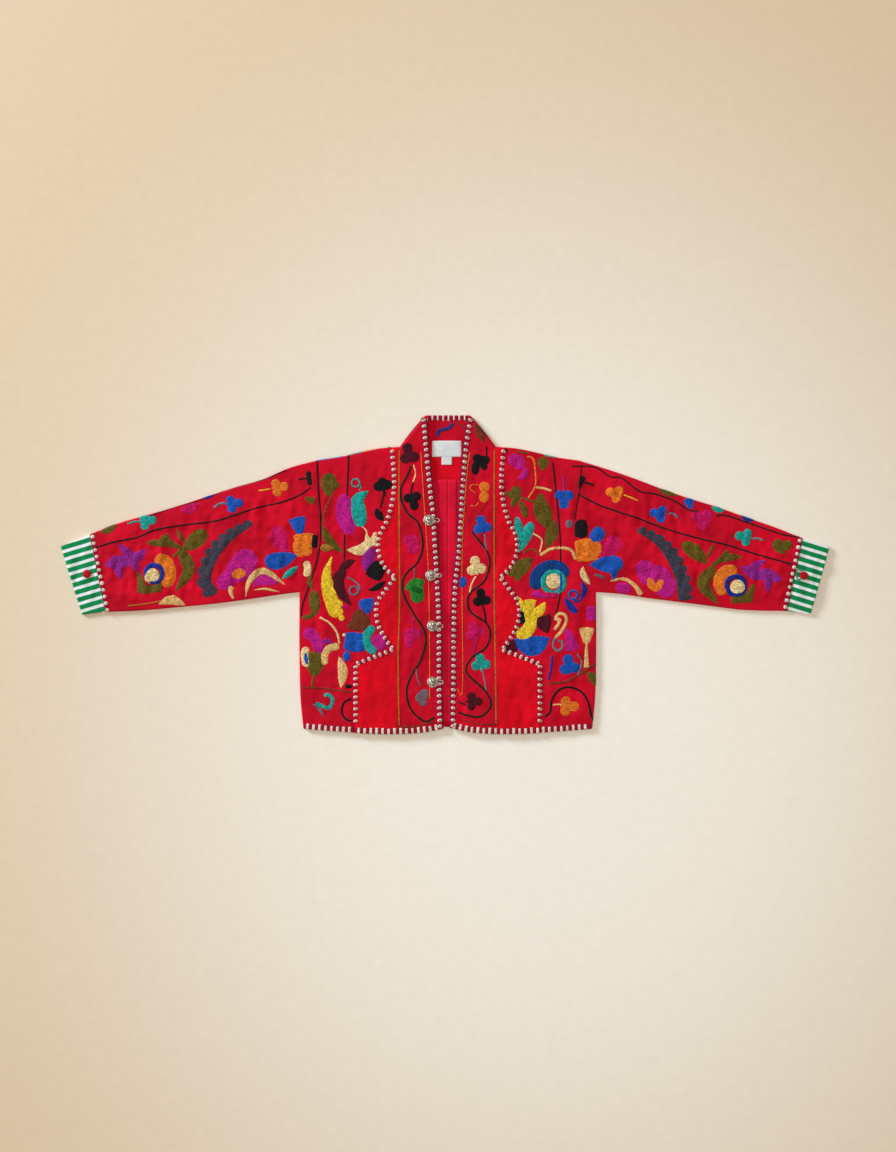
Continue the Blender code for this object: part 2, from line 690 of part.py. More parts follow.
def sleeve_plan(side, share, across):
    """A place on the sleeve in the plan: share of its length, and 0 at the upper fold to 1 at the lower."""
    table = SLEEVE[side]
    upper = Vector((curve_through(table, share, 1), curve_through(table, share, 2)))
    lower = Vector((curve_through(table, share, 3), curve_through(table, share, 4)))
    straight = upper.lerp(lower, across)
    up = SHOULDER_TIP_UP + (UNDERARM_UP - SHOULDER_TIP_UP) * across
    chord = ARMHOLE[-1][1] + (ARMHOLE[0][1] - ARMHOLE[-1][1]) * across
    bow = (line_through(ARMHOLE_LINE, up) - chord) * max(1 - share / ARMHOLE_BOW_SPAN, 0.0) ** 2
    gap = SEAM_GAP * 1.5 if share == 0 else 0.0
    return straight + Vector((bow + gap, 0))


def cuff_plan(side, share, across):
    """A place on the cuff in the plan, from the sleeve's end to the mouth."""
    seam = SLEEVE[side][-1][1:]
    upper = Vector(seam[:2]).lerp(Vector(CUFF_MOUTH[side][:2]), share)
    lower = Vector(seam[2:]).lerp(Vector(CUFF_MOUTH[side][2:]), share)
    inwards = (lower - upper).normalized() * CUFF_INSET
    along = (Vector(CUFF_MOUTH[side][:2]) - Vector(seam[:2])).normalized() * SEAM_GAP
    return (upper + inwards).lerp(lower - inwards, across) + (along if share == 0 else Vector((0, 0)))


def tube_ring(side, plan, drop=0.0):
    """Outer and inner points once round a flattened tube: over the top from the upper fold, back along the bottom."""
    wall, radius = BODY_WALL, FOLD_RADIUS
    levels = [(SHOULDER_TIP_UP - up) / (SHOULDER_TIP_UP - UNDERARM_UP) for _, up in reversed(ARMHOLE_ROWS[1:])]
    upper, lower = plan(0.0), plan(1.0)
    from_upper = (plan(levels[0]) - upper).normalized()
    from_lower = (plan(levels[-1]) - lower).normalized()
    inside = radius - wall
    outer, inner = [], []

    def add(place_outer, high, place_inner, low):
        outer.append((world_x(side, place_outer.x), place_outer.y, high))
        inner.append((world_x(side, place_inner.x), place_inner.y, low))

    def add_arc(edge, inwards, degrees_list):
        for degrees in degrees_list:
            angle = math.radians(degrees)
            cos, sin = math.cos(angle), math.sin(angle)
            lowered = drop * max(sin, 0.0)
            add(edge + inwards * (radius - radius * cos), radius + radius * sin - lowered,
                edge + inwards * (radius - inside * cos), radius + inside * sin - lowered)

    add_arc(upper, from_upper, (0, 30, 60, 90))
    for level in levels:
        place = plan(level)
        high = top_height(world_x(side, place.x), place.y) - drop
        add(place, high, place, high - wall)
    add_arc(lower, from_lower, (90, 60, 30, 0, -30, -60, -90))
    for level in reversed(levels):
        place = plan(level)
        add(place, 0.0, place, wall)
    add_arc(upper, from_upper, (-90, -60, -30))
    return outer, inner


def sleeve(side):
    """A sleeve as one tube from the armhole to the cuff seam, flat underneath."""
    rings = [tube_ring(side, lambda across, share=share: sleeve_plan(side, share, across)) for share in SLEEVE_ROWS]
    outer, inner = zip(*rings)
    return loft_wall(f"sleeve_{SIDE_NAMES[side]}", outer, inner, "red_cotton", ring=True)


def cuff(side):
    """A cuff as one tube from the sleeve's end to its open mouth."""
    rings = [
        tube_ring(side, lambda across, share=share: cuff_plan(side, share, across), CUFF_INSET)
        for share in CUFF_ROWS
    ]
    outer, inner = zip(*rings)
    return loft_wall(f"cuff_{SIDE_NAMES[side]}", outer, inner, "striped_cotton", ring=True)


def neck_facing():
    """The plain facing inside the back, below the collar."""
    outer, inner = [], []
    floor = BODY_WALL + SEAM_GAP
    for share in (0.0, 0.5, 1.0):
        outer_row, inner_row = [], []
        for k in range(9):
            out = FACING_HALF_WIDTH * (k / 4 - 1)
            top = neck_seam_up(out) - 2 * SEAM_GAP
            up = FACING_UP + (top - FACING_UP) * share
            outer_row.append((BODY_CENTRE_X + out, up, floor + LINING_WALL))
            inner_row.append((BODY_CENTRE_X + out, up, floor))
        outer.append(outer_row)
        inner.append(inner_row)
    return loft_wall("neck_facing", outer, inner, "plain_red_cotton")


def lining():
    """The strip of lining that shows between the fronts, with a box pleat whose folds meet in the middle."""
    floor = BODY_WALL + SEAM_GAP
    flat, pleat = floor + LINING_WALL, floor + LINING_WALL + PLEAT_HEIGHT
    step = 0.0006
    profile = (
        (-FACING_HALF_WIDTH, flat),
        (-PLEAT_HALF_WIDTH - step, flat),
        (-PLEAT_HALF_WIDTH, pleat),
        (-PLEAT_GROOVE, pleat),
        (0.0, flat),
        (PLEAT_GROOVE, pleat),
        (PLEAT_HALF_WIDTH, pleat),
        (PLEAT_HALF_WIDTH + step, flat),
        (FACING_HALF_WIDTH, flat),
    )
    outer, inner = [], []
    for up in (LINING_HEM_UP, FACING_UP - SEAM_GAP):
        outer.append([(BODY_CENTRE_X + out, up, height) for out, height in profile])
        inner.append([(BODY_CENTRE_X + out, up, floor) for out, _ in profile])
    return loft_wall("lining", outer, inner, "pink_lining")


def flat_label(name, size, top_up):
    """A bare woven label on the facing."""
    width, length = size
    shape = bmesh.new()
    bmesh.ops.create_cube(shape, size=1.0)
    bmesh.ops.scale(shape, vec=(width, length, LABEL_WALL), verts=shape.verts)
    floor = BODY_WALL + SEAM_GAP + LINING_WALL + SEAM_GAP
    centre = (BODY_CENTRE_X + LABEL_CENTRE_OUT, top_up - length / 2, floor + LABEL_WALL / 2)
    bmesh.ops.translate(shape, vec=centre, verts=shape.verts)
    mesh = bpy.data.meshes.new(name)
    shape.to_mesh(mesh)
    shape.free()
    return add_object(name, mesh, "label_tape")


def turned(name, profile, place, material_name):
    """A button turned from a profile, standing on the cloth at a place in the plan."""
    mesh = bpy.data.meshes.new(name)
    points = [(out, 0, height) for out, height in profile]
    mesh.from_pydata(points, [(i, i + 1) for i in range(len(points) - 1)], [])
    made = add_object(name, mesh, material_name)
    made.location = place
    screw = made.modifiers.new("turn", "SCREW")
    screw.steps = screw.render_steps = BUTTON_STEPS
    screw.use_merge_vertices = True
    screw.merge_threshold = 0.00001
    return made


def standing_height(x, y, radius, lift):
    """The lowest height at which a flat-footed button clears the cloth under it."""
    turns = [2 * math.pi * k / BUTTON_SIDES_TRIED for k in range(BUTTON_SIDES_TRIED)]
    around = [(x, y)] + [(x + radius * math.cos(turn), y + radius * math.sin(turn)) for turn in turns]
    return max(top_height(*place) for place in around) + lift + SEAM_GAP


def buttons():
    """Four metal buttons on the right band and one cloth button on each cuff."""
    band_lift = LAYER_GAP + OVERLAY_WALL
    for number, (out, up) in enumerate(BUTTON_PLACES, start=1):
        x = world_x(RIGHT, out)
        place = (x, up, standing_height(x, up, BUTTON_PROFILE[-2][0], band_lift))
        turned(f"button_{number}", BUTTON_PROFILE, place, "silver_metal")
    for side, (out, up) in CUFF_BUTTON_PLACES.items():
        x = world_x(side, out)
        place = (x, up, standing_height(x, up, CUFF_BUTTON_PROFILE[-2][0], -CUFF_INSET))
        turned(f"cuff_button_{SIDE_NAMES[side]}", CUFF_BUTTON_PROFILE, place, "red_button")


def main():
    for old in list(bpy.data.objects):
        bpy.data.objects.remove(old)
    jacket = bpy.data.collections.new("jacket")
    bpy.context.scene.collection.children.link(jacket)
    back_panel()
    collar()
    for side in (RIGHT, LEFT):
        front_panel(side)
        overlay(side)
        band(side)
        sleeve(side)
        cuff(side)
    neck_facing()
    lining()
    flat_label("neck_label", LABEL_SIZE, LABEL_TOP_UP)
    flat_label("size_tab", TAB_SIZE, LABEL_TOP_UP - LABEL_SIZE[1] - SEAM_GAP)
    buttons()


main()
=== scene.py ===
"""Looks of a cropped, open-fronted jacket of red cotton with wool embroidery, lying on its back on a floor.

Each cut piece of cloth becomes a fine shell on its solid's form, with the main creases added, and the
embroidery, edge stitching, buttons and labels lie on those shells. Units are metres, +Z is up, +X is the way
the wearer's left sleeve points and +Y the way the collar points. "out" is a distance from the body's centre
line towards either sleeve and "up" is a place along Y. Places read from the photograph are pixels of its
896 x 1152 frame.
"""

import math

import bpy
import numpy as np
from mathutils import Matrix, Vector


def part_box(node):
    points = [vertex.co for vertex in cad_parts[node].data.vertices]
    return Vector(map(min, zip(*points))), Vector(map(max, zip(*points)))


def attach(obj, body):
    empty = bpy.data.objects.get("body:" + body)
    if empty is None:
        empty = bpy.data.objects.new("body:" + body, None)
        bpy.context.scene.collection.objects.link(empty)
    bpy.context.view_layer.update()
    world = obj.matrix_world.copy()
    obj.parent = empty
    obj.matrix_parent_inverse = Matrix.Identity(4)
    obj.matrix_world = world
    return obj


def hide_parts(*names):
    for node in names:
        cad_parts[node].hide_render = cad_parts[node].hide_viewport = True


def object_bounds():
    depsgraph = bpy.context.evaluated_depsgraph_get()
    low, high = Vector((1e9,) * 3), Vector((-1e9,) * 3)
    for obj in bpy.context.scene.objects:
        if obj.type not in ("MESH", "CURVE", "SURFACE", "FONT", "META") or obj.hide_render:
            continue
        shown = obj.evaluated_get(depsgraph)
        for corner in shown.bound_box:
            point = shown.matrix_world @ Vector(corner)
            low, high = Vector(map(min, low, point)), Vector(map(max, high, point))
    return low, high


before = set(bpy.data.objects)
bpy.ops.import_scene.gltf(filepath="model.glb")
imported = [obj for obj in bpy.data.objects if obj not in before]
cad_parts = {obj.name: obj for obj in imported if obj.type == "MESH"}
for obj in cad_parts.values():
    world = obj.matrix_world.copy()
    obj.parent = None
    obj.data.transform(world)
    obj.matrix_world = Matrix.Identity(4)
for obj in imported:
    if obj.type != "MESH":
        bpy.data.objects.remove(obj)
CAD_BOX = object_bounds()

RIGHT, LEFT = -1, 1
SIDES = {RIGHT: "right", LEFT: "left"}
BODY_CENTRE_X = 0.0046
PIXEL = 0.0018
CENTRE_COLUMN, CENTRE_ROW = 447.8, 574.5

# Walls, gaps and folded edges, as in the solids.
BODY_WALL = 0.0020
OVERLAY_WALL = 0.0010
BAND_WALL = 0.0026
COLLAR_WALL = 0.0025
LINING_WALL = 0.0010
SEAM_GAP = 0.0003
LAYER_GAP = 0.0003
LAYER_LIFT = LAYER_GAP + OVERLAY_WALL
BAND_LIFT_SPAN = 0.006
FOLD_RADIUS = 0.0028
COLLAR_FOLD_RADIUS = 0.0038
COLLAR_FOLD_FROM, COLLAR_FOLD_TO = 0.205, 0.240
COLLAR_BLEND = 0.030
RISE, RISE_SPAN = 0.0012, 0.045
RELIEF_FADE = 0.030
HEM_DROP, HEM_DROP_SPAN = 0.0008, 0.045

# Half the body's width from the hem to the underarm, and the armhole seam up to the shoulder: (up, out).
SIDE_EDGE = ((-0.2763, 0.2597), (-0.2260, 0.2646), (-0.1360, 0.2668), (-0.0675, 0.2668), (-0.0315, 0.2664))
ARMHOLE = (
    (-0.0315, 0.2664),
    (-0.0135, 0.2502),
    (0.0171, 0.2376),
    (0.0621, 0.2313),
    (0.1341, 0.2322),
    (0.2050, 0.2358),
)
# The shoulder fold, the collar's sloping fold and the hems: (out, up).
SHOULDER = ((0.0864, 0.2295), (0.1220, 0.2268), (0.1580, 0.2196), (0.1940, 0.2110), (0.2358, 0.2050))
NECK_POINT, COLLAR_TOP = (0.0864, 0.2295), (0.0414, 0.2850)
NECK_SEAM_ARCH = 0.0085
UNDERARM_UP, SHOULDER_TIP_UP = ARMHOLE[0][0], ARMHOLE[-1][0]
FRONT_HEM = (
    (0.0050, -0.2740),
    (0.0200, -0.2775),
    (0.0400, -0.2815),
    (0.0660, -0.2840),
    (0.1000, -0.2850),
    (0.1500, -0.2840),
    (0.2100, -0.2800),
    (0.2597, -0.2763),
)
LOWEST_HEM_UP = -0.2850
BACK_HEM = ((0.0, -0.2735), (0.1800, -0.2740), (0.2597, -0.2763))
# The bands' free edges: (up, right band's out, left band's out).
BAND_EDGE = (
    (-0.2740, 0.0096, 0.0049),
    (-0.2420, 0.0104, 0.0049),
    (-0.1944, 0.0112, 0.0058),
    (-0.0981, 0.0112, 0.0064),
    (-0.0488, 0.0128, 0.0073),
    (-0.0086, 0.0151, 0.0097),
    (0.0236, 0.0167, 0.0139),
    (0.0621, 0.0193, 0.0169),
    (0.1039, 0.0216, 0.0194),
    (0.1444, 0.0262, 0.0213),
    (0.1766, 0.0297, 0.0238),
    (0.2086, 0.0328, 0.0266),
    (0.2360, 0.0353, 0.0293),
    (0.2850, 0.0396, 0.0376),
)
BAND_SEAM_OUT = 0.0864
BAND_LEAST_WIDTH = 0.002
# The overlay's scalloped edge, (up, out), in stretches that meet at sharp corners.
OVERLAY_BLOCK = ((-0.2850, 0.1656), (-0.1611, 0.1656))
OVERLAY_STEP = ((-0.1611, 0.1656), (-0.1350, 0.0985))
LOWER_SCALLOP = (
    (-0.1350, 0.0985),
    (-0.1118, 0.1143),
    (-0.0918, 0.1247),
    (-0.0675, 0.1287),
    (-0.0477, 0.1256),
    (-0.0275, 0.1116),
    (-0.0054, 0.0945),
)
UPPER_SCALLOP = (
    (-0.0054, 0.0945),
    (0.0108, 0.1116),
    (0.0288, 0.1215),
    (0.0531, 0.1251),
    (0.0729, 0.1215),
    (0.0972, 0.1089),
    (0.1521, 0.0968),
    (0.2295, 0.1004),
)
OVERLAY_OUTLINE = (OVERLAY_BLOCK, OVERLAY_STEP, LOWER_SCALLOP, UPPER_SCALLOP)
# The rows of a body panel run between these heights at the band seam and at the side.
SEAM_ROWS = (
    -0.2840, -0.262, -0.1611, -0.0477, -0.0275, -0.0054, 0.0108, 0.0288, 0.0531, 0.0800, 0.1521, 0.2110
)
SIDE_ROWS = (
    -0.2763, -0.262, -0.1611, -0.0477, -0.0315, -0.0180, 0.0000, 0.0171, 0.0400, 0.0680, 0.1341, 0.1880
)
# The sleeves from the armhole to the cuff seam: (share, upper fold's out, up, lower fold's out, up).
SLEEVE = {
    RIGHT: (
        (0.000, 0.2358, 0.2050, 0.2664, -0.0315),
        (0.125, 0.2848, 0.1917, 0.3085, -0.0369),
        (0.250, 0.3362, 0.1695, 0.3524, -0.0436),
        (0.375, 0.3868, 0.1548, 0.3956, -0.0495),
        (0.500, 0.4379, 0.1386, 0.4388, -0.0545),
        (0.625, 0.4892, 0.1215, 0.4820, -0.0585),
        (0.750, 0.5400, 0.1071, 0.5256, -0.0626),
        (0.875, 0.5911, 0.0925, 0.5692, -0.0657),
        (1.000, 0.6422, 0.0729, 0.6134, -0.0671),
    ),
    LEFT: (
        (0.000, 0.2358, 0.2050, 0.2664, -0.0315),
        (0.125, 0.2878, 0.1890, 0.3109, -0.0350),
        (0.250, 0.3377, 0.1719, 0.3532, -0.0414),
        (0.375, 0.3874, 0.1530, 0.3956, -0.0468),
        (0.500, 0.4372, 0.1359, 0.4381, -0.0522),
        (0.625, 0.4871, 0.1206, 0.4804, -0.0576),
        (0.750, 0.5368, 0.1026, 0.5229, -0.0630),
        (0.875, 0.5868, 0.0855, 0.5652, -0.0650),
        (1.000, 0.6367, 0.0657, 0.6077, -0.0655),
    ),
}
# The cuffs' mouths: upper corner's out and up, then the lower corner's.
CUFF_MOUTH = {RIGHT: (0.6955, 0.0513, 0.6566, -0.0729), LEFT: (0.6862, 0.0513, 0.6511, -0.0729)}
CUFF_INSET = 0.0008
ARMHOLE_BOW_SPAN = 0.35
SLEEVE_TURN = {RIGHT: math.radians(16.5), LEFT: math.radians(-17.0)}

FACING_UP, FACING_HALF_WIDTH = 0.1701, 0.074
LINING_HEM_UP = -0.2640
PLEAT_HALF_WIDTH, PLEAT_HEIGHT = 0.015, 0.0010
PLEAT_GROOVE, PLEAT_STEP = 0.0010, 0.0006

# Fineness of the shells, and the softness of their rims.
CLOTH_STEP = 0.0032
UNDERSIDE_STEP = 0.0060
ARC_STEPS = 6
LIP_BULGE = 0.42

# Soft folds of the solids, then the creases added here. Ridges stand above zero and troughs lie below it.
# Each runs through three places, and fades at both ends.
CREASE_COLUMNS = ("side", "out_a", "up_a", "out_b", "up_b", "out_c", "up_c", "half_width", "height")
CREASES = (
    (RIGHT, 0.300, 0.185, 0.312, 0.120, 0.330, 0.060, 0.020, -0.0012),
    (RIGHT, 0.375, 0.160, 0.390, 0.105, 0.400, 0.050, 0.018, 0.0012),
    (RIGHT, 0.455, 0.130, 0.465, 0.095, 0.470, 0.060, 0.018, -0.0012),
    (RIGHT, 0.560, 0.100, 0.590, 0.075, 0.620, 0.045, 0.016, 0.0010),
    (RIGHT, 0.290, -0.010, 0.355, -0.012, 0.420, -0.020, 0.017, -0.0012),
    (RIGHT, 0.450, -0.035, 0.530, -0.038, 0.610, -0.045, 0.015, 0.0010),
    (LEFT, 0.262, 0.190, 0.270, 0.120, 0.275, 0.050, 0.018, -0.0012),
    (LEFT, 0.318, 0.175, 0.327, 0.110, 0.330, 0.040, 0.018, 0.0012),
    (LEFT, 0.360, 0.155, 0.370, 0.105, 0.385, 0.060, 0.018, -0.0013),
    (LEFT, 0.490, 0.110, 0.507, 0.075, 0.520, 0.040, 0.018, 0.0010),
    (LEFT, 0.290, -0.005, 0.355, -0.009, 0.420, -0.020, 0.017, -0.0012),
    (LEFT, 0.450, -0.030, 0.530, -0.035, 0.610, -0.045, 0.015, 0.0010),
    (RIGHT, 0.245, 0.015, 0.228, -0.048, 0.205, -0.110, 0.020, 0.0011),
    (LEFT, 0.245, 0.010, 0.232, -0.055, 0.210, -0.120, 0.020, 0.0011),
    (RIGHT, 0.205, 0.160, 0.197, 0.090, 0.185, 0.020, 0.022, -0.0010),
    (LEFT, 0.200, 0.165, 0.197, 0.098, 0.190, 0.030, 0.022, -0.0010),
    # Drag lines that fan out from the underarms over the sleeves and the body.
    (RIGHT, 0.262, 0.000, 0.300, 0.045, 0.318, 0.110, 0.0075, -0.0011),
    (RIGHT, 0.275, -0.008, 0.318, 0.030, 0.350, 0.085, 0.0080, 0.0010),
    (RIGHT, 0.282, -0.020, 0.340, 0.004, 0.405, 0.022, 0.0070, -0.0010),
    (RIGHT, 0.258, -0.022, 0.244, -0.062, 0.236, -0.115, 0.0070, -0.0011),
    (RIGHT, 0.252, -0.030, 0.225, -0.085, 0.214, -0.150, 0.0080, 0.0009),
    (LEFT, 0.262, 0.000, 0.296, 0.045, 0.305, 0.115, 0.0075, -0.0011),
    (LEFT, 0.272, -0.008, 0.322, 0.028, 0.352, 0.080, 0.0080, 0.0010),
    (LEFT, 0.282, -0.020, 0.345, 0.000, 0.412, 0.016, 0.0070, -0.0010),
    (LEFT, 0.258, -0.022, 0.248, -0.070, 0.240, -0.130, 0.0070, -0.0011),
    (LEFT, 0.250, -0.035, 0.228, -0.090, 0.222, -0.160, 0.0080, 0.0009),
    # Creases across the sleeves, below the shoulder and above the cuffs.
    (RIGHT, 0.338, 0.150, 0.346, 0.110, 0.338, 0.068, 0.0070, 0.0010),
    (RIGHT, 0.421, 0.128, 0.430, 0.085, 0.424, 0.040, 0.0070, -0.0010),
    (RIGHT, 0.508, 0.098, 0.515, 0.052, 0.508, 0.005, 0.0065, 0.0009),
    (RIGHT, 0.535, 0.085, 0.545, 0.040, 0.541, -0.010, 0.0065, -0.0010),
    (RIGHT, 0.598, 0.062, 0.606, 0.028, 0.598, -0.012, 0.0060, 0.0009),
    (LEFT, 0.296, 0.165, 0.301, 0.110, 0.292, 0.055, 0.0070, 0.0010),
    (LEFT, 0.402, 0.132, 0.412, 0.085, 0.409, 0.035, 0.0070, -0.0011),
    (LEFT, 0.440, 0.115, 0.449, 0.075, 0.447, 0.028, 0.0065, 0.0010),
    (LEFT, 0.553, 0.078, 0.560, 0.040, 0.555, -0.005, 0.0060, -0.0010),
    (LEFT, 0.590, 0.060, 0.598, 0.020, 0.592, -0.020, 0.0060, 0.0009),
    # Soft verticals in the fronts, and slack above the hem.
    (RIGHT, 0.222, 0.180, 0.218, 0.110, 0.222, 0.045, 0.0080, 0.0008),
    (LEFT, 0.224, 0.178, 0.219, 0.115, 0.224, 0.050, 0.0080, 0.0008),
    (RIGHT, 0.182, -0.120, 0.186, -0.190, 0.178, -0.262, 0.0100, 0.0009),
    (RIGHT, 0.232, -0.150, 0.228, -0.205, 0.236, -0.262, 0.0090, -0.0009),
    (LEFT, 0.190, -0.115, 0.186, -0.185, 0.192, -0.262, 0.0100, 0.0009),
    (LEFT, 0.236, -0.165, 0.230, -0.215, 0.237, -0.262, 0.0090, -0.0009),
    (RIGHT, 0.128, -0.165, 0.132, -0.215, 0.126, -0.268, 0.0100, -0.0008),
    (LEFT, 0.132, -0.170, 0.128, -0.220, 0.134, -0.268, 0.0100, -0.0008),
    (RIGHT, 0.050, 0.060, 0.056, -0.060, 0.048, -0.180, 0.0110, 0.0006),
    (LEFT, 0.046, 0.070, 0.052, -0.050, 0.046, -0.190, 0.0110, 0.0006),
)
CREASE_STEPS = 8
CREASE_STRENGTH = 1.8
# Small puckers: many weak waves with lengths between these, in all directions, stronger on the sleeves.
PUCKERS, PUCKER_SHORTEST, PUCKER_LONGEST, PUCKER_HEIGHT = 36, 0.013, 0.034, 0.00015
PUCKER_BODY_SHARE, PUCKER_SLEEVES_FROM, PUCKER_SLEEVES_SPAN = 0.60, 0.20, 0.08
PUCKER_SEED = 5
RELIEF_STEP = 0.0025
RELIEF_MARGIN = 0.02
# Long soft waves that keep flat cloth from looking ruled: (waves per metre in X, in Y, phase, height).
WAVES = (
    (14.0, 9.0, 0.3, 0.00022),
    (-8.0, 17.0, 1.9, 0.00020),
    (27.0, -13.0, 4.1, 0.00012),
    (19.0, 33.0, 2.6, 0.00010),
)


def from_photo(column, row):
    """X and Y of a place seen at a pixel of the photograph."""
    return (column - CENTRE_COLUMN) * PIXEL + BODY_CENTRE_X, (CENTRE_ROW - row) * PIXEL


def smooth_step(share):
    """0 below 0, 1 above 1 and an even curve between."""
    share = np.clip(share, 0.0, 1.0)
    return share * share * (3 - 2 * share)


def curve_through(table, place, column=1):
    """Values at places on a smooth curve through a table's rows, whose first column rises."""
    rows = np.array(table, float)
    places, values = rows[:, 0], rows[:, column]
    place = np.clip(np.asarray(place, float), places[0], places[-1])
    i = np.clip(np.searchsorted(places, place) - 1, 0, len(places) - 2)
    slopes = np.diff(values) / np.diff(places)
    start = (slopes[np.maximum(i - 1, 0)] + slopes[i]) / 2
    end = (slopes[i] + slopes[np.minimum(i + 1, len(slopes) - 1)]) / 2
    width = places[i + 1] - places[i]
    t = (place - places[i]) / width
    return (
        (2 * t**3 - 3 * t**2 + 1) * values[i]
        + (t**3 - 2 * t**2 + t) * width * start
        + (3 * t**2 - 2 * t**3) * values[i + 1]
        + (t**3 - t**2) * width * end
    )


def side_out(up):
    """Half the body's width: the side fold below the underarm and the armhole above it."""
    up = np.asarray(up, float)
    return np.where(up <= UNDERARM_UP, curve_through(SIDE_EDGE, up), curve_through(ARMHOLE, up))


def overlay_out(up):
    """How far out the overlay's scalloped edge is."""
    up = np.asarray(up, float)
    found = np.full(up.shape, OVERLAY_OUTLINE[-1][-1][1])
    for stretch in reversed(OVERLAY_OUTLINE):
        found = np.where(up <= stretch[-1][0] + 1e-6, curve_through(stretch, up), found)
    return found


def slope_out(up):
    """How far out the collar's sloping fold is."""
    share = (np.asarray(up) - NECK_POINT[1]) / (COLLAR_TOP[1] - NECK_POINT[1])
    return NECK_POINT[0] + (COLLAR_TOP[0] - NECK_POINT[0]) * share


def band_edge_out(side, up):
    """How far out a band's inner edge lies at a height."""
    return curve_through(BAND_EDGE, up, column=1 if side == RIGHT else 2)


def neck_seam_up(out):
    """The seam between the back and the collar, which arches a little."""
    return NECK_POINT[1] + NECK_SEAM_ARCH * (1 - (np.asarray(out) / NECK_POINT[0]) ** 2)


def fold_radius(y):
    """The folded edges' radius, larger where the collar stands."""
    share = smooth_step((y - COLLAR_FOLD_FROM) / (COLLAR_FOLD_TO - COLLAR_FOLD_FROM))
    return FOLD_RADIUS + (COLLAR_FOLD_RADIUS - FOLD_RADIUS) * share


def fold_stretches(side):
    """Short stretches of one side's folded edges: starts, ends, and the way inwards along and at each end."""
    shares = np.linspace(0, 1, 33)
    slope_ups = np.linspace(COLLAR_TOP[1], NECK_POINT[1], 7)
    outs = np.linspace(SHOULDER[0][0], SHOULDER[-1][0], 14)
    ups = np.linspace(SIDE_EDGE[0][0], SIDE_EDGE[-1][0], 14)
    table, mouth = SLEEVE[side], CUFF_MOUTH[side]
    upper = np.concatenate([
        np.stack([slope_out(slope_ups), slope_ups], axis=1)[:-1],
        np.stack([outs, curve_through(SHOULDER, outs)], axis=1)[:-1],
        np.stack([curve_through(table, shares, 1), curve_through(table, shares, 2)], axis=1),
        [mouth[:2]],
    ])
    lower = np.concatenate([
        np.stack([curve_through(SIDE_EDGE, ups), ups], axis=1)[:-1],
        np.stack([curve_through(table, shares, 3), curve_through(table, shares, 4)], axis=1),
        [mouth[2:]],
    ])
    starts = np.concatenate([upper[:-1], lower[:-1]])
    ends = np.concatenate([upper[1:], lower[1:]])
    along = ends - starts
    along /= np.linalg.norm(along, axis=1)[:, None]
    inwards = np.stack([along[:, 1], -along[:, 0]], axis=1)
    inwards[len(upper) - 1:] *= -1
    at_starts, at_ends = inwards.copy(), inwards.copy()
    at_starts[1:] += inwards[:-1]
    at_ends[:-1] += inwards[1:]
    break_at = len(upper) - 1
    at_starts[break_at], at_ends[break_at - 1] = inwards[break_at], inwards[break_at - 1]
    for line in (starts, ends, inwards, at_starts, at_ends):
        line[:, 0] *= side
    starts[:, 0] += BODY_CENTRE_X
    ends[:, 0] += BODY_CENTRE_X
    return starts, ends, inwards, at_starts, at_ends


FOLD_STRETCHES = {side: fold_stretches(side) for side in SIDES}
MOST_AT_ONCE = 6000


def nearest_fold(x, y):
    """Distance inwards from the nearest folded edge (negative outside), its Y, and the way inwards."""
    shape = np.shape(x)
    x, y = np.ravel(x), np.ravel(y)
    found = np.zeros((len(x), 4))
    for side, (starts, ends, inwards, at_starts, at_ends) in FOLD_STRETCHES.items():
        chosen = np.flatnonzero((x >= BODY_CENTRE_X) == (side == LEFT))
        along = ends - starts
        squares = (along**2).sum(axis=1)
        for first in range(0, len(chosen), MOST_AT_ONCE):
            part = chosen[first:first + MOST_AT_ONCE]
            points = np.stack([x[part], y[part]], axis=1)[:, None, :]
            share = np.clip(((points - starts) * along).sum(axis=2) / squares, 0, 1)
            places = starts + along * share[:, :, None]
            distances = np.linalg.norm(points - places, axis=2)
            best = distances.argmin(axis=1)
            rows = np.arange(len(part))
            away = points[:, 0, :] - places[rows, best]
            reached = share[rows, best][:, None]
            past_start = np.where(reached >= 1, at_ends[best], inwards[best])
            facing = np.where(reached <= 0, at_starts[best], past_start)
            sign = np.where((away * facing).sum(axis=1) < 0, -1.0, 1.0)
            distance = distances[rows, best] * sign
            clear = np.abs(distance) > 1e-5
            scaled = away / np.where(clear, distance, 1.0)[:, None]
            direction = np.where(clear[:, None], scaled, inwards[best])
            found[part] = np.column_stack([distance, places[rows, best, 1], direction])
    return [column.reshape(shape) for column in found.T]


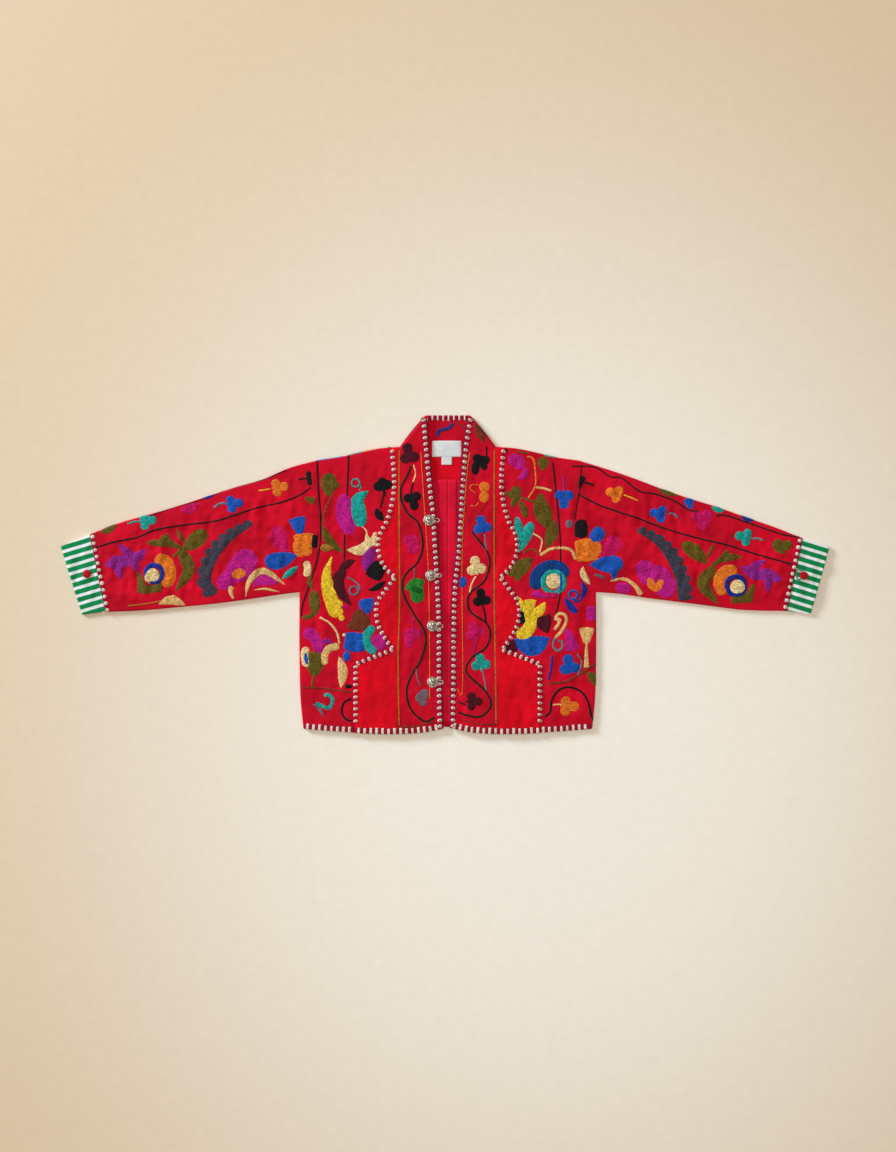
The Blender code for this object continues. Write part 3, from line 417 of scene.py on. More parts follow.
def crease_height(x, y, row):
    """One crease's height at places in the plan."""
    crease = dict(zip(CREASE_COLUMNS, row))
    corners = np.array([
        (crease["out_a"], crease["up_a"]),
        (crease["out_b"], crease["up_b"]),
        (crease["out_c"], crease["up_c"]),
    ])
    corners[:, 0] = BODY_CENTRE_X + crease["side"] * corners[:, 0]
    steps = np.linspace(0, 1, CREASE_STEPS + 1)
    middle = 2 * corners[1] - (corners[0] + corners[2]) / 2
    line = [(1 - t) ** 2 * corners[0] + 2 * t * (1 - t) * middle + t * t * corners[2] for t in steps]
    nearest, place = np.full(x.shape, np.inf), np.zeros(x.shape)
    for k, (start, end) in enumerate(zip(line, line[1:])):
        along = end - start
        share = np.clip(((x - start[0]) * along[0] + (y - start[1]) * along[1]) / (along @ along), 0, 1)
        distance = np.hypot(x - start[0] - along[0] * share, y - start[1] - along[1] * share)
        place = np.where(distance < nearest, (k + share) / CREASE_STEPS, place)
        nearest = np.minimum(nearest, distance)
    fade = 0.25 + 0.75 * np.sin(math.pi * np.clip(place, 0, 1))
    return crease["height"] * fade * np.exp(-((nearest / crease["half_width"]) ** 2))


def relief_grid():
    """The creases' and waves' heights on a fine grid over the whole jacket."""
    low, high = CAD_BOX
    xs = np.arange(low[0] - RELIEF_MARGIN, high[0] + RELIEF_MARGIN, RELIEF_STEP)
    ys = np.arange(low[1] - RELIEF_MARGIN, high[1] + RELIEF_MARGIN, RELIEF_STEP)
    x, y = np.meshgrid(xs, ys, indexing="ij")
    total = CREASE_STRENGTH * sum(crease_height(x, y, row) for row in CREASES)
    share = smooth_step((np.abs(x - BODY_CENTRE_X) - PUCKER_SLEEVES_FROM) / PUCKER_SLEEVES_SPAN)
    share = PUCKER_HEIGHT * (PUCKER_BODY_SHARE + (1 - PUCKER_BODY_SHARE) * share)
    chance = np.random.default_rng(PUCKER_SEED)
    for _ in range(PUCKERS):
        length, turn = chance.uniform(PUCKER_SHORTEST, PUCKER_LONGEST), chance.uniform(0, math.pi)
        across = (x * math.cos(turn) + y * math.sin(turn)) * 2 * math.pi / length
        total = total + share * np.sin(across + chance.uniform(0, 2 * math.pi))
    for along_x, along_y, phase, height in WAVES:
        total = total + height * np.sin(2 * math.pi * (along_x * x + along_y * y) + phase)
    return xs, ys, total


RELIEF_XS, RELIEF_YS, RELIEF = relief_grid()


def relief(x, y):
    """The height of creases and waves at places in the plan."""
    i = np.clip((x - RELIEF_XS[0]) / RELIEF_STEP, 0, len(RELIEF_XS) - 1.001)
    j = np.clip((y - RELIEF_YS[0]) / RELIEF_STEP, 0, len(RELIEF_YS) - 1.001)
    i0, j0 = i.astype(int), j.astype(int)
    a, b = i - i0, j - j0
    near = RELIEF[i0, j0] * (1 - a) + RELIEF[i0 + 1, j0] * a
    far = RELIEF[i0, j0 + 1] * (1 - a) + RELIEF[i0 + 1, j0 + 1] * a
    return near * (1 - b) + far * b


def flat_height(x, y, inset, fold_y):
    """Height of the upper layer away from its rolled edges, inset from the nearest fold."""
    beside = fold_radius(fold_y)
    radius = beside + (fold_radius(y) - beside) * smooth_step((inset - beside) / COLLAR_BLEND)
    short = 1 - np.clip((inset - radius) / RISE_SPAN, 0, 1)
    out = np.abs(x - BODY_CENTRE_X)
    hem_drop = HEM_DROP * (1 - smooth_step((y - LOWEST_HEM_UP) / HEM_DROP_SPAN)) * (out < SIDE_EDGE[0][1])
    folds = relief(x, y) * smooth_step((inset - beside) / RELIEF_FADE)
    rise = RISE * (1 - smooth_step((y - COLLAR_FOLD_FROM) / (COLLAR_FOLD_TO - COLLAR_FOLD_FROM)))
    return 2 * radius + rise * (1 - short * short) + folds - hem_drop


def wall_skins(x, y, wall, lift=0.0, under=False):
    """Outer and inner points of a cloth wall over places in the plan, rolled at the folded edges."""
    signed, fold_y, in_x, in_y = nearest_fold(x, y)
    inset = np.maximum(signed, 0.0)
    radius = fold_radius(fold_y)
    cos = np.clip((radius - inset) / radius, 0, 1)
    sin = np.sqrt(1 - cos * cos)
    if under:
        height, down = radius - radius * sin, 1.0
    else:
        raised = flat_height(x, y, inset, fold_y)
        height, down = np.where(inset < radius, radius + radius * sin, raised), -1.0
    height = height + lift * smooth_step(inset / BAND_LIFT_SPAN)
    outer = np.stack([x, y, height], axis=-1)
    inwards = np.stack([in_x * wall * cos, in_y * wall * cos, down * wall * sin], axis=-1)
    return outer, outer + inwards


def arc_insets(radius):
    """Distances inwards from a folded edge of the columns round its roll, from the flat cloth to the edge."""
    angles = np.linspace(math.pi / 2, 0, ARC_STEPS + 1)[1:]
    return radius - radius * np.cos(angles)


def made_mesh(name, points, faces, uvs=None):
    """A smooth-shaded object from points and faces, turned so that its faces look outwards."""
    points = np.asarray(points, float)
    mesh = bpy.data.meshes.new(name)
    mesh.from_pydata(points.tolist(), [], [list(face) for face in faces])
    if uvs is not None:
        layer = mesh.uv_layers.new(name="UVMap")
        corners = np.zeros(len(mesh.loops), int)
        mesh.loops.foreach_get("vertex_index", corners)
        layer.data.foreach_set("uv", np.asarray(uvs, float)[corners].ravel())
    mesh.shade_smooth()
    made = bpy.data.objects.new(name, mesh)
    bpy.context.scene.collection.objects.link(made)
    return made


def grid_faces(rows, columns, first=0, ring=False):
    """Faces of a grid of points stored row by row."""
    i, j = np.meshgrid(np.arange(rows - 1), np.arange(columns if ring else columns - 1), indexing="ij")
    k = (j + 1) % columns
    low, high = i * columns, (i + 1) * columns
    faces = np.stack([low + j, low + k, high + k, high + j], axis=-1)
    return faces.reshape(-1, 4) + first


def rim_loops(rows, columns, ring):
    """The border of a grid as closed loops of point numbers, each with the numbers just inside it."""
    index = np.arange(rows * columns).reshape(rows, columns)
    if ring:
        return [(index[0], index[1]), (index[-1][::-1], index[-2][::-1])]
    loop = np.concatenate([index[0, :-1], index[:-1, -1], index[-1, :0:-1], index[:0:-1, 0]])
    inner_rows = np.clip(loop // columns, 1, rows - 2)
    inner_columns = np.clip(loop % columns, 1, columns - 2)
    return [(loop, index[inner_rows, inner_columns])]


def closed_skins(outer, inner, ring=False, bulge=LIP_BULGE):
    """Points and faces of a thin closed wall between two skins, with a rounded lip round its border."""
    rows, columns = outer.shape[:2]
    count = rows * columns
    points = [outer.reshape(-1, 3), inner.reshape(-1, 3)]
    faces = [grid_faces(rows, columns, 0, ring), grid_faces(rows, columns, count, ring)[:, ::-1]]
    total = 2 * count
    for loop, inside in rim_loops(rows, columns, ring):
        high, low = points[0][loop], points[1][loop]
        away = high - points[0][inside]
        away /= np.maximum(np.linalg.norm(away, axis=1), 1e-9)[:, None]
        thick = np.linalg.norm(high - low, axis=1)[:, None]
        points.append((high + low) / 2 + away * thick * bulge)
        lip = np.arange(len(loop)) + total
        after = np.roll(np.arange(len(loop)), -1)
        faces.append(np.stack([loop[after], loop, lip, lip[after]], axis=1))
        faces.append(np.stack([lip[after], lip, loop + count, loop[after] + count], axis=1))
        total += len(loop)
    points, faces = np.concatenate(points), np.concatenate(faces)
    corners = points[faces] - points[0]
    volume = np.einsum("ij,ij->i", corners[:, 0], np.cross(corners[:, 1], corners[:, 2])).sum()
    volume += np.einsum("ij,ij->i", corners[:, 0], np.cross(corners[:, 2], corners[:, 3])).sum()
    return points, faces if volume > 0 else faces[:, ::-1]


def shell(name, outer, inner, ring=False):
    """A cloth piece as a thin closed wall between two skins of points."""
    return made_mesh(name, *closed_skins(outer, inner, ring))


def dress(piece, node, material):
    """Gives a cloth piece its material and its body, and hides the solid that it stands for."""
    piece.data.materials.append(material)
    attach(piece, "root")
    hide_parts(node)
    return piece


def link(tree, source, target):
    """Joins two sockets of a material."""
    tree.links.new(source, target)


def node(tree, kind, **settings):
    """A shader node with its settings and plain input values; inputs are named in_ and the input's name."""
    made = tree.nodes.new(kind)
    for name, value in settings.items():
        if name.startswith("in_"):
            made.inputs[name[3:].replace("_", " ")].default_value = value
        else:
            setattr(made, name, value)
    return made


def blank_material(name, roughness, metallic=0.0, sheen=0.0):
    """A material with plain gloss values; returns it, its node tree and its shader."""
    made = bpy.data.materials.new(name)
    made.use_nodes = True
    shader = made.node_tree.nodes["Principled BSDF"]
    shader.inputs["Roughness"].default_value = roughness
    shader.inputs["Metallic"].default_value = metallic
    shader.inputs["Sheen Weight"].default_value = sheen
    shader.inputs["Sheen Roughness"].default_value = 0.5
    shader.inputs["Specular IOR Level"].default_value = 0.25 if metallic else 0.1
    return made, made.node_tree, shader


def turned_place(tree, turn, coordinates="Object"):
    """Places in metres, turned in the plan so that X runs along the cloth's grain."""
    place = node(tree, "ShaderNodeTexCoord")
    mapping = node(tree, "ShaderNodeMapping")
    mapping.inputs["Rotation"].default_value = (0, 0, -turn)
    link(tree, place.outputs[coordinates], mapping.inputs["Vector"])
    return mapping.outputs["Vector"]


def shade_of(colour, share):
    """A colour made darker or lighter by a share."""
    return (*[min(channel * share, 1.0) for channel in colour], 1)


def cotton(name, colour, turn=0.0, crinkle=0.00035, yarn=0.0009, slub=0.12):
    """Woven cotton: crossed yarns, slubs along the grain, small crinkles and a slow drift of colour."""
    made, tree, shader = blank_material(name, 0.9, sheen=0.04)
    place = turned_place(tree, turn)
    drift = node(tree, "ShaderNodeTexNoise", in_Scale=16.0, in_Detail=5.0)
    fine = node(tree, "ShaderNodeTexNoise", in_Scale=420.0, in_Detail=2.0)
    stretched = node(tree, "ShaderNodeMapping")
    stretched.inputs["Scale"].default_value = (0.12, 1.0, 1.0)
    grain = node(tree, "ShaderNodeTexNoise", in_Scale=900.0, in_Detail=1.0)
    warp = node(tree, "ShaderNodeTexWave", bands_direction="X", in_Scale=0.314 / yarn, in_Distortion=0.6)
    weft = node(tree, "ShaderNodeTexWave", bands_direction="Y", in_Scale=0.314 / yarn, in_Distortion=0.6)
    soft = node(tree, "ShaderNodeTexNoise", in_Scale=110.0, in_Detail=4.0)
    for texture in (drift, fine, warp, weft, soft, stretched):
        link(tree, place, texture.inputs["Vector"])
    link(tree, stretched.outputs["Vector"], grain.inputs["Vector"])
    slow = node(tree, "ShaderNodeValToRGB")
    slow.color_ramp.elements[0].position, slow.color_ramp.elements[1].position = 0.35, 0.65
    slow.color_ramp.elements[0].color = shade_of(colour, 0.74)
    slow.color_ramp.elements[1].color = shade_of(colour, 1.05)
    link(tree, drift.outputs["Fac"], slow.inputs["Fac"])
    speck = node(tree, "ShaderNodeMath", operation="ADD")
    link(tree, fine.outputs["Fac"], speck.inputs[0])
    link(tree, grain.outputs["Fac"], speck.inputs[1])
    scale = node(tree, "ShaderNodeMapRange")
    scale.inputs["From Min"].default_value, scale.inputs["From Max"].default_value = 0.7, 1.3
    scale.inputs["To Min"].default_value, scale.inputs["To Max"].default_value = 1 - slub, 1 + slub * 0.6
    link(tree, speck.outputs[0], scale.inputs["Value"])
    tint = node(tree, "ShaderNodeMix", data_type="RGBA", blend_type="MULTIPLY")
    tint.inputs[0].default_value = 1.0
    link(tree, slow.outputs["Color"], tint.inputs[6])
    link(tree, scale.outputs["Result"], tint.inputs[7])
    link(tree, tint.outputs[2], shader.inputs["Base Color"])
    crossed = node(tree, "ShaderNodeMath", operation="MULTIPLY")
    link(tree, warp.outputs["Fac"], crossed.inputs[0])
    link(tree, weft.outputs["Fac"], crossed.inputs[1])
    weave_bump = node(tree, "ShaderNodeBump", in_Strength=0.35, in_Distance=0.00012)
    crinkle_bump = node(tree, "ShaderNodeBump", in_Strength=0.9, in_Distance=crinkle * 1.6)
    link(tree, crossed.outputs[0], weave_bump.inputs["Height"])
    link(tree, soft.outputs["Fac"], crinkle_bump.inputs["Height"])
    link(tree, weave_bump.outputs["Normal"], crinkle_bump.inputs["Normal"])
    link(tree, crinkle_bump.outputs["Normal"], shader.inputs["Normal"])
    return made


def striped_twill(name, turn, first, second, pitch, share):
    """Cotton twill in two colours, in stripes along the sleeve."""
    made = cotton(name, first, turn, yarn=0.0008)
    tree = made.node_tree
    shader = tree.nodes["Principled BSDF"]
    place = turned_place(tree, turn)
    parts = node(tree, "ShaderNodeSeparateXYZ")
    link(tree, place, parts.inputs[0])
    wobble = node(tree, "ShaderNodeTexNoise", in_Scale=160.0, in_Detail=2.0)
    link(tree, place, wobble.inputs["Vector"])
    stir = node(tree, "ShaderNodeMath", operation="MULTIPLY_ADD")
    stir.inputs[1].default_value = 0.0009
    link(tree, wobble.outputs["Fac"], stir.inputs[0])
    link(tree, parts.outputs["Y"], stir.inputs[2])
    turns = node(tree, "ShaderNodeMath", operation="DIVIDE")
    turns.inputs[1].default_value = pitch
    link(tree, stir.outputs[0], turns.inputs[0])
    rest = node(tree, "ShaderNodeMath", operation="FLOORED_MODULO")
    rest.inputs[1].default_value = 1.0
    link(tree, turns.outputs[0], rest.inputs[0])
    step = node(tree, "ShaderNodeValToRGB")
    step.color_ramp.elements[0].position, step.color_ramp.elements[1].position = share - 0.03, share + 0.03
    step.color_ramp.elements[0].color, step.color_ramp.elements[1].color = (*first, 1), (*second, 1)
    last = step.color_ramp.elements.new(0.99)
    last.color = (*first, 1)
    step.color_ramp.elements.new(0.95).color = (*second, 1)
    link(tree, rest.outputs[0], step.inputs["Fac"])
    twill = node(tree, "ShaderNodeTexWave", bands_direction="DIAGONAL", in_Scale=330.0, in_Distortion=0.4)
    link(tree, place, twill.inputs["Vector"])
    lines = node(tree, "ShaderNodeMapRange")
    lines.inputs["To Min"].default_value, lines.inputs["To Max"].default_value = 0.86, 1.05
    link(tree, twill.outputs["Fac"], lines.inputs["Value"])
    tint = node(tree, "ShaderNodeMix", data_type="RGBA", blend_type="MULTIPLY")
    tint.inputs[0].default_value = 1.0
    link(tree, step.outputs["Color"], tint.inputs[6])
    link(tree, lines.outputs["Result"], tint.inputs[7])
    link(tree, tint.outputs[2], shader.inputs["Base Color"])
    return made


THREAD_ROW, THREAD_STITCH = 2.3, 4.6


def thread(name, colour, row=THREAD_ROW, stitch=THREAD_STITCH, contrast=1.0):
    """Rows of wool chain stitch that follow a motif's own direction, by its UV map in metres."""
    made, tree, shader = blank_material(name, 0.85, sheen=0.06)
    place = node(tree, "ShaderNodeTexCoord")
    scaled = node(tree, "ShaderNodeMapping")
    scaled.inputs["Scale"].default_value = (1000.0, 1000.0, 1000.0)
    link(tree, place.outputs["UV"], scaled.inputs["Vector"])
    bricks = node(tree, "ShaderNodeTexBrick", in_Scale=1.0, in_Mortar_Size=0.34, in_Mortar_Smooth=0.6)
    bricks.inputs["Brick Width"].default_value = stitch
    bricks.inputs["Row Height"].default_value = row
    bricks.inputs["Bias"].default_value = -0.2
    bricks.inputs["Color1"].default_value = shade_of(colour, 1.0 + 0.14 * contrast)
    bricks.inputs["Color2"].default_value = shade_of(colour, 1.0 - 0.16 * contrast)
    bricks.inputs["Mortar"].default_value = shade_of(colour, 1.0 - 0.52 * contrast)
    link(tree, scaled.outputs["Vector"], bricks.inputs["Vector"])
    fuzz = node(tree, "ShaderNodeTexNoise", in_Scale=330.0, in_Detail=2.0)
    link(tree, place.outputs["Object"], fuzz.inputs["Vector"])
    spread = node(tree, "ShaderNodeMapRange")
    spread.inputs["From Min"].default_value, spread.inputs["From Max"].default_value = 0.3, 0.7
    spread.inputs["To Min"].default_value, spread.inputs["To Max"].default_value = 1 - 0.55 * contrast, 1.3
    link(tree, fuzz.outputs["Fac"], spread.inputs["Value"])
    tint = node(tree, "ShaderNodeMix", data_type="RGBA", blend_type="MULTIPLY")
    tint.inputs[0].default_value = 1.0
    link(tree, bricks.outputs["Color"], tint.inputs[6])
    link(tree, spread.outputs["Result"], tint.inputs[7])
    link(tree, tint.outputs[2], shader.inputs["Base Color"])
    rows = node(tree, "ShaderNodeBump", in_Strength=0.8, in_Distance=0.0005, invert=True)
    wool = node(tree, "ShaderNodeBump", in_Strength=0.5, in_Distance=0.0004)
    link(tree, bricks.outputs["Fac"], rows.inputs["Height"])
    link(tree, fuzz.outputs["Fac"], wool.inputs["Height"])
    link(tree, rows.outputs["Normal"], wool.inputs["Normal"])
    link(tree, wool.outputs["Normal"], shader.inputs["Normal"])
    return made


def worn_metal(name, colour):
    """Old silvery metal, dark between its granules, by the button's own UV map in millimetres."""
    made, tree, shader = blank_material(name, 0.38, metallic=0.75)
    place = node(tree, "ShaderNodeTexCoord")
    stain = node(tree, "ShaderNodeTexNoise", in_Scale=500.0, in_Detail=4.0)
    link(tree, place.outputs["Object"], stain.inputs["Vector"])
    grains = node(tree, "ShaderNodeTexVoronoi", in_Scale=0.42, in_Randomness=0.45)
    link(tree, place.outputs["UV"], grains.inputs["Vector"])
    mix = node(tree, "ShaderNodeValToRGB")
    mix.color_ramp.elements[0].position, mix.color_ramp.elements[1].position = 0.30, 0.62
    mix.color_ramp.elements[0].color = (*colour, 1)
    mix.color_ramp.elements[1].color = shade_of(colour, 0.10)
    link(tree, grains.outputs["Distance"], mix.inputs["Fac"])
    link(tree, mix.outputs["Color"], shader.inputs["Base Color"])
    rough = node(tree, "ShaderNodeMapRange")
    rough.inputs["To Min"].default_value, rough.inputs["To Max"].default_value = 0.6, 0.3
    link(tree, stain.outputs["Fac"], rough.inputs["Value"])
    link(tree, rough.outputs["Result"], shader.inputs["Roughness"])
    pits = node(tree, "ShaderNodeBump", in_Strength=0.3, in_Distance=0.0002)
    link(tree, stain.outputs["Fac"], pits.inputs["Height"])
    link(tree, pits.outputs["Normal"], shader.inputs["Normal"])
    return made


RED = (0.60, 0.0010, 0.015)
PLAIN_RED = (0.71, 0.0005, 0.009)
LINING_PINK = (0.72, 0.005, 0.030)
CUFF_GREEN, CUFF_WHITE = (0.003, 0.215, 0.060), (0.78, 0.77, 0.72)
LABEL_WHITE = (0.74, 0.72, 0.68)
STRIPE_PITCH, STRIPE_GREEN_SHARE = 0.0140, 0.58

RED_COTTON = cotton("red_cotton", RED)
SLEEVE_COTTON = {side: cotton(f"red_cotton_sleeve_{SIDES[side]}", RED, SLEEVE_TURN[side]) for side in SIDES}
PLAIN_COTTON = cotton("plain_red_cotton", PLAIN_RED)
PINK_COTTON = cotton("pink_lining", LINING_PINK, crinkle=0.0005)
TWILL = {
    side: striped_twill(
        f"striped_cotton_{SIDES[side]}", SLEEVE_TURN[side], CUFF_GREEN, CUFF_WHITE,
        STRIPE_PITCH, STRIPE_GREEN_SHARE
    )
    for side in SIDES
}
TAPE = cotton("label_tape", LABEL_WHITE, crinkle=0.0001, yarn=0.0006, slub=0.05)
SILVER = worn_metal("silver_metal", (0.74, 0.57, 0.43))
RED_BUTTON = cotton("red_button", (0.50, 0.006, 0.012), crinkle=0.0001, yarn=0.0007)


def spaced(start, end, step):
    """Places from start to end, about a step apart."""
    return np.linspace(start, end, max(int(round(abs(end - start) / step)), 1) + 1)


def body_rows(step):
    """Place numbers of a body panel's rows between the rows that are named at the seam and the side."""
    found = []
    for k in range(len(SEAM_ROWS)):
        after = SEAM_ROWS[k + 1] if k + 1 < len(SEAM_ROWS) else NECK_POINT[1] - FOLD_RADIUS
        count = len(spaced(SEAM_ROWS[k], after, step)) - 1
        found.extend(k + i / count for i in range(count))
    return np.array(found + [len(SEAM_ROWS)])


def body_grid(step, first_out, last_share, hem):
    """(out, up) of a body panel's grid from the band seam outwards, with its shoulder roll, as 2-D arrays."""
    rows = body_rows(step)
    numbers = np.arange(len(SEAM_ROWS) + 1)
    shoulder_radius = fold_radius(NECK_POINT[1])
    seam_up = np.interp(rows, numbers, [*SEAM_ROWS, NECK_POINT[1] - shoulder_radius])
    side_up = np.interp(rows, numbers, [*SIDE_ROWS, SHOULDER_TIP_UP - FOLD_RADIUS])
    edge = last_share(side_up, seam_up)
    room = edge - FOLD_RADIUS
    shares = spaced(0, 1, step / 0.17)
    flat = first_out + (room[:, None] - first_out) * shares
    rolled = np.where(
        (side_up <= UNDERARM_UP)[:, None],
        edge[:, None] - arc_insets(FOLD_RADIUS),
        room[:, None] + FOLD_RADIUS * np.linspace(0, 1, ARC_STEPS + 1)[1:],
    )
    out = np.concatenate([flat, rolled], axis=1)
    share = (out - BAND_SEAM_OUT) / (side_out(side_up)[:, None] - BAND_SEAM_OUT)
    up = seam_up[:, None] + (side_up - seam_up)[:, None] * share
    line = SEAM_ROWS[0] + (SIDE_ROWS[0] - SEAM_ROWS[0]) * share
    up += (curve_through(hem, out) - line) * np.clip(1 - rows, 0, 1)[:, None]
    last = np.clip(rows - (len(SEAM_ROWS) - 1), 0, 1)[:, None]
    across = np.clip(share, 0, 1)
    neck_line = NECK_POINT[1] - shoulder_radius
    top_line = neck_line + (SHOULDER_TIP_UP - FOLD_RADIUS - NECK_POINT[1] + shoulder_radius) * across
    shoulder = curve_through(SHOULDER, out)
    radius = fold_radius(shoulder)
    up += (shoulder - radius - top_line) * last
    outs, ups = [out], [up]
    for k in range(ARC_STEPS):
        outs.append(out[-1:])
        ups.append(shoulder[-1:] - arc_insets(1.0)[k] * radius[-1:])
    return np.concatenate(outs), np.concatenate(ups)


def front_panel(side):
    """A front from the band seam to the side and the armhole, and from the hem to the shoulder fold."""
    out, up = body_grid(CLOTH_STEP, BAND_SEAM_OUT + SEAM_GAP, lambda side_up, _: side_out(side_up), FRONT_HEM)
    x = BODY_CENTRE_X + side * out
    piece = shell(f"front_shell_{SIDES[side]}", *wall_skins(x, up, BODY_WALL))
    dress(piece, f"front_{SIDES[side]}", RED_COTTON)


# Distances below the shoulder of a panel's last rows, its columns, and the overlay's clearances at both ends.
OVERLAY_LAST_ROWS, OVERLAY_COLUMNS = (0.004, 0.0025, 0.0014), 22
OVERLAY_HEM_CLEAR, OVERLAY_TOP_CLEAR = 0.001, 0.004


def overlay(side):
    """The plain panel on a front, from the band seam out to its scalloped edge."""
    heights = np.unique(np.concatenate([
        spaced(stretch[0][0], stretch[-1][0], CLOTH_STEP) for stretch in OVERLAY_OUTLINE
    ]))
    above_hem = heights > SEAM_ROWS[0] + OVERLAY_HEM_CLEAR
    heights = heights[above_hem & (heights < NECK_POINT[1] - OVERLAY_TOP_CLEAR)]
    rows = np.concatenate([[SEAM_ROWS[0]], heights, NECK_POINT[1] - np.array(OVERLAY_LAST_ROWS)])
    seam = BAND_SEAM_OUT + SEAM_GAP
    out = seam + (overlay_out(rows) - seam)[:, None] * np.linspace(0, 1, OVERLAY_COLUMNS)
    side_up = np.interp(rows, [*SEAM_ROWS, NECK_POINT[1]], [*SIDE_ROWS, SHOULDER_TIP_UP])
    up = rows[:, None] + (side_up - rows)[:, None] * (out - seam) / (side_out(side_up) - seam)[:, None]
    up[0] = curve_through(FRONT_HEM, out[0])
    near_top = smooth_step((rows - SEAM_ROWS[-1]) / (NECK_POINT[1] - SEAM_ROWS[-1]))[:, None]
    up += near_top * (curve_through(SHOULDER, out) - (NECK_POINT[1] - rows)[:, None] - up)
    x = BODY_CENTRE_X + side * out
    outer, inner = wall_skins(x, up, OVERLAY_WALL)
    outer[..., 2] += LAYER_LIFT
    inner[..., 2] += LAYER_LIFT
    piece = shell(f"overlay_shell_{SIDES[side]}", outer, inner)
    dress(piece, f"overlay_{SIDES[side]}", PLAIN_COTTON)


# Rows just below the neck point, the gap left for them, flat columns, and the height of the hem's bend.
BAND_NEAR_ROWS, BAND_ROW_GAP = (0.004, 0.0025, 0.0012, 0.0004), 0.006
BAND_FLAT_COLUMNS, BAND_HEM_BEND = 25, 0.03


def band(side):
    """The band from the hem up to the collar's top."""
    below = spaced(SEAM_ROWS[0], NECK_POINT[1] - BAND_ROW_GAP, CLOTH_STEP)
    near = NECK_POINT[1] - np.array(BAND_NEAR_ROWS)
    above = spaced(NECK_POINT[1], COLLAR_TOP[1], CLOTH_STEP)
    rows = np.concatenate([below, near, above])
    standing = rows >= NECK_POINT[1]
    first = np.where(standing, slope_out(rows), BAND_SEAM_OUT)
    longer = math.hypot(NECK_POINT[0] - COLLAR_TOP[0], COLLAR_TOP[1] - NECK_POINT[1])
    widen = np.where(standing, longer / (COLLAR_TOP[1] - NECK_POINT[1]), 1.0)
    radius = fold_radius(rows) * widen
    arcs = first[:, None] - np.concatenate([arc_insets(1.0)[::-1], [1.0]])[None, :] * radius[:, None]
    room = arcs[:, -1]
    last = np.minimum(band_edge_out(side, rows), room - BAND_LEAST_WIDTH)
    flat = room[:, None] + (last - room)[:, None] * np.linspace(0, 1, BAND_FLAT_COLUMNS)[1:]
    out = np.concatenate([arcs, flat], axis=1)
    up = np.repeat(rows[:, None], out.shape[1], axis=1)
    hem_share = np.clip(1 - (rows - SEAM_ROWS[0]) / BAND_HEM_BEND, 0, 1)[:, None]
    up += (curve_through(FRONT_HEM, out) - SEAM_ROWS[0]) * hem_share
    x = BODY_CENTRE_X + side * out
    piece = shell(f"band_shell_{SIDES[side]}", *wall_skins(x, up, BAND_WALL, lift=LAYER_LIFT))
    below = ["back_shell", f"front_shell_{SIDES[side]}"]
    dress(piece, f"band_{SIDES[side]}", RED_COTTON)


def back_panel():
    """The whole back, flat underneath, rolled up at the sides and at the shoulders."""
    out, up = body_grid(UNDERSIDE_STEP, BAND_SEAM_OUT, lambda side_up, _: side_out(side_up), BACK_HEM)
    middle = np.linspace(-BAND_SEAM_OUT, BAND_SEAM_OUT, 26)[1:-1]
    seam_up = np.repeat(up[:, :1], len(middle), axis=1)
    arch = (neck_seam_up(middle) - NECK_POINT[1])[None, :] * np.linspace(0, 1, len(up))[:, None] ** 12
    seam_up += arch
    seam_up[0] = curve_through(BACK_HEM, np.abs(middle))
    whole_out = np.concatenate([-out[:, ::-1], np.repeat(middle[None, :], len(out), axis=0), out], axis=1)
    whole_up = np.concatenate([up[:, ::-1], seam_up, up], axis=1)
    x = BODY_CENTRE_X + whole_out
    outer, inner = wall_skins(x, whole_up, BODY_WALL, under=True)
    between = np.abs(whole_out) < BAND_SEAM_OUT - 0.004
    outer[..., 2] = np.where(between, 0.0, outer[..., 2])
    inner[..., 2] = np.where(between, BODY_WALL, inner[..., 2])
    piece = shell("back_shell", outer, inner)
    dress(piece, "back", RED_COTTON)


def collar():
    """The back of the collar, rolled up into the bands at its sloping folds."""
    rows = spaced(0, 1, 0.06)
    up = NECK_POINT[1] + SEAM_GAP + (COLLAR_TOP[1] - NECK_POINT[1] - SEAM_GAP) * rows
    edge = slope_out(up)
    longer = math.hypot(NECK_POINT[0] - COLLAR_TOP[0], COLLAR_TOP[1] - NECK_POINT[1])
    radius = fold_radius(up) * longer / (COLLAR_TOP[1] - NECK_POINT[1])
    half = edge[:, None] - np.concatenate([arc_insets(1.0)[::-1], [1.0]])[None, :] * radius[:, None]
    flat = half[:, -1:] * np.linspace(1, -1, 26)[None, 1:-1]
    out = np.concatenate([half, flat, -half[:, ::-1]], axis=1)
    ups = np.repeat(up[:, None], out.shape[1], axis=1)
    ups += (1 - rows)[:, None] * (neck_seam_up(np.minimum(np.abs(out), NECK_POINT[0])) - NECK_POINT[1])
    x = BODY_CENTRE_X + out
    piece = shell("collar_shell", *wall_skins(x, ups, COLLAR_WALL, under=True))
    dress(piece, "collar", RED_COTTON)


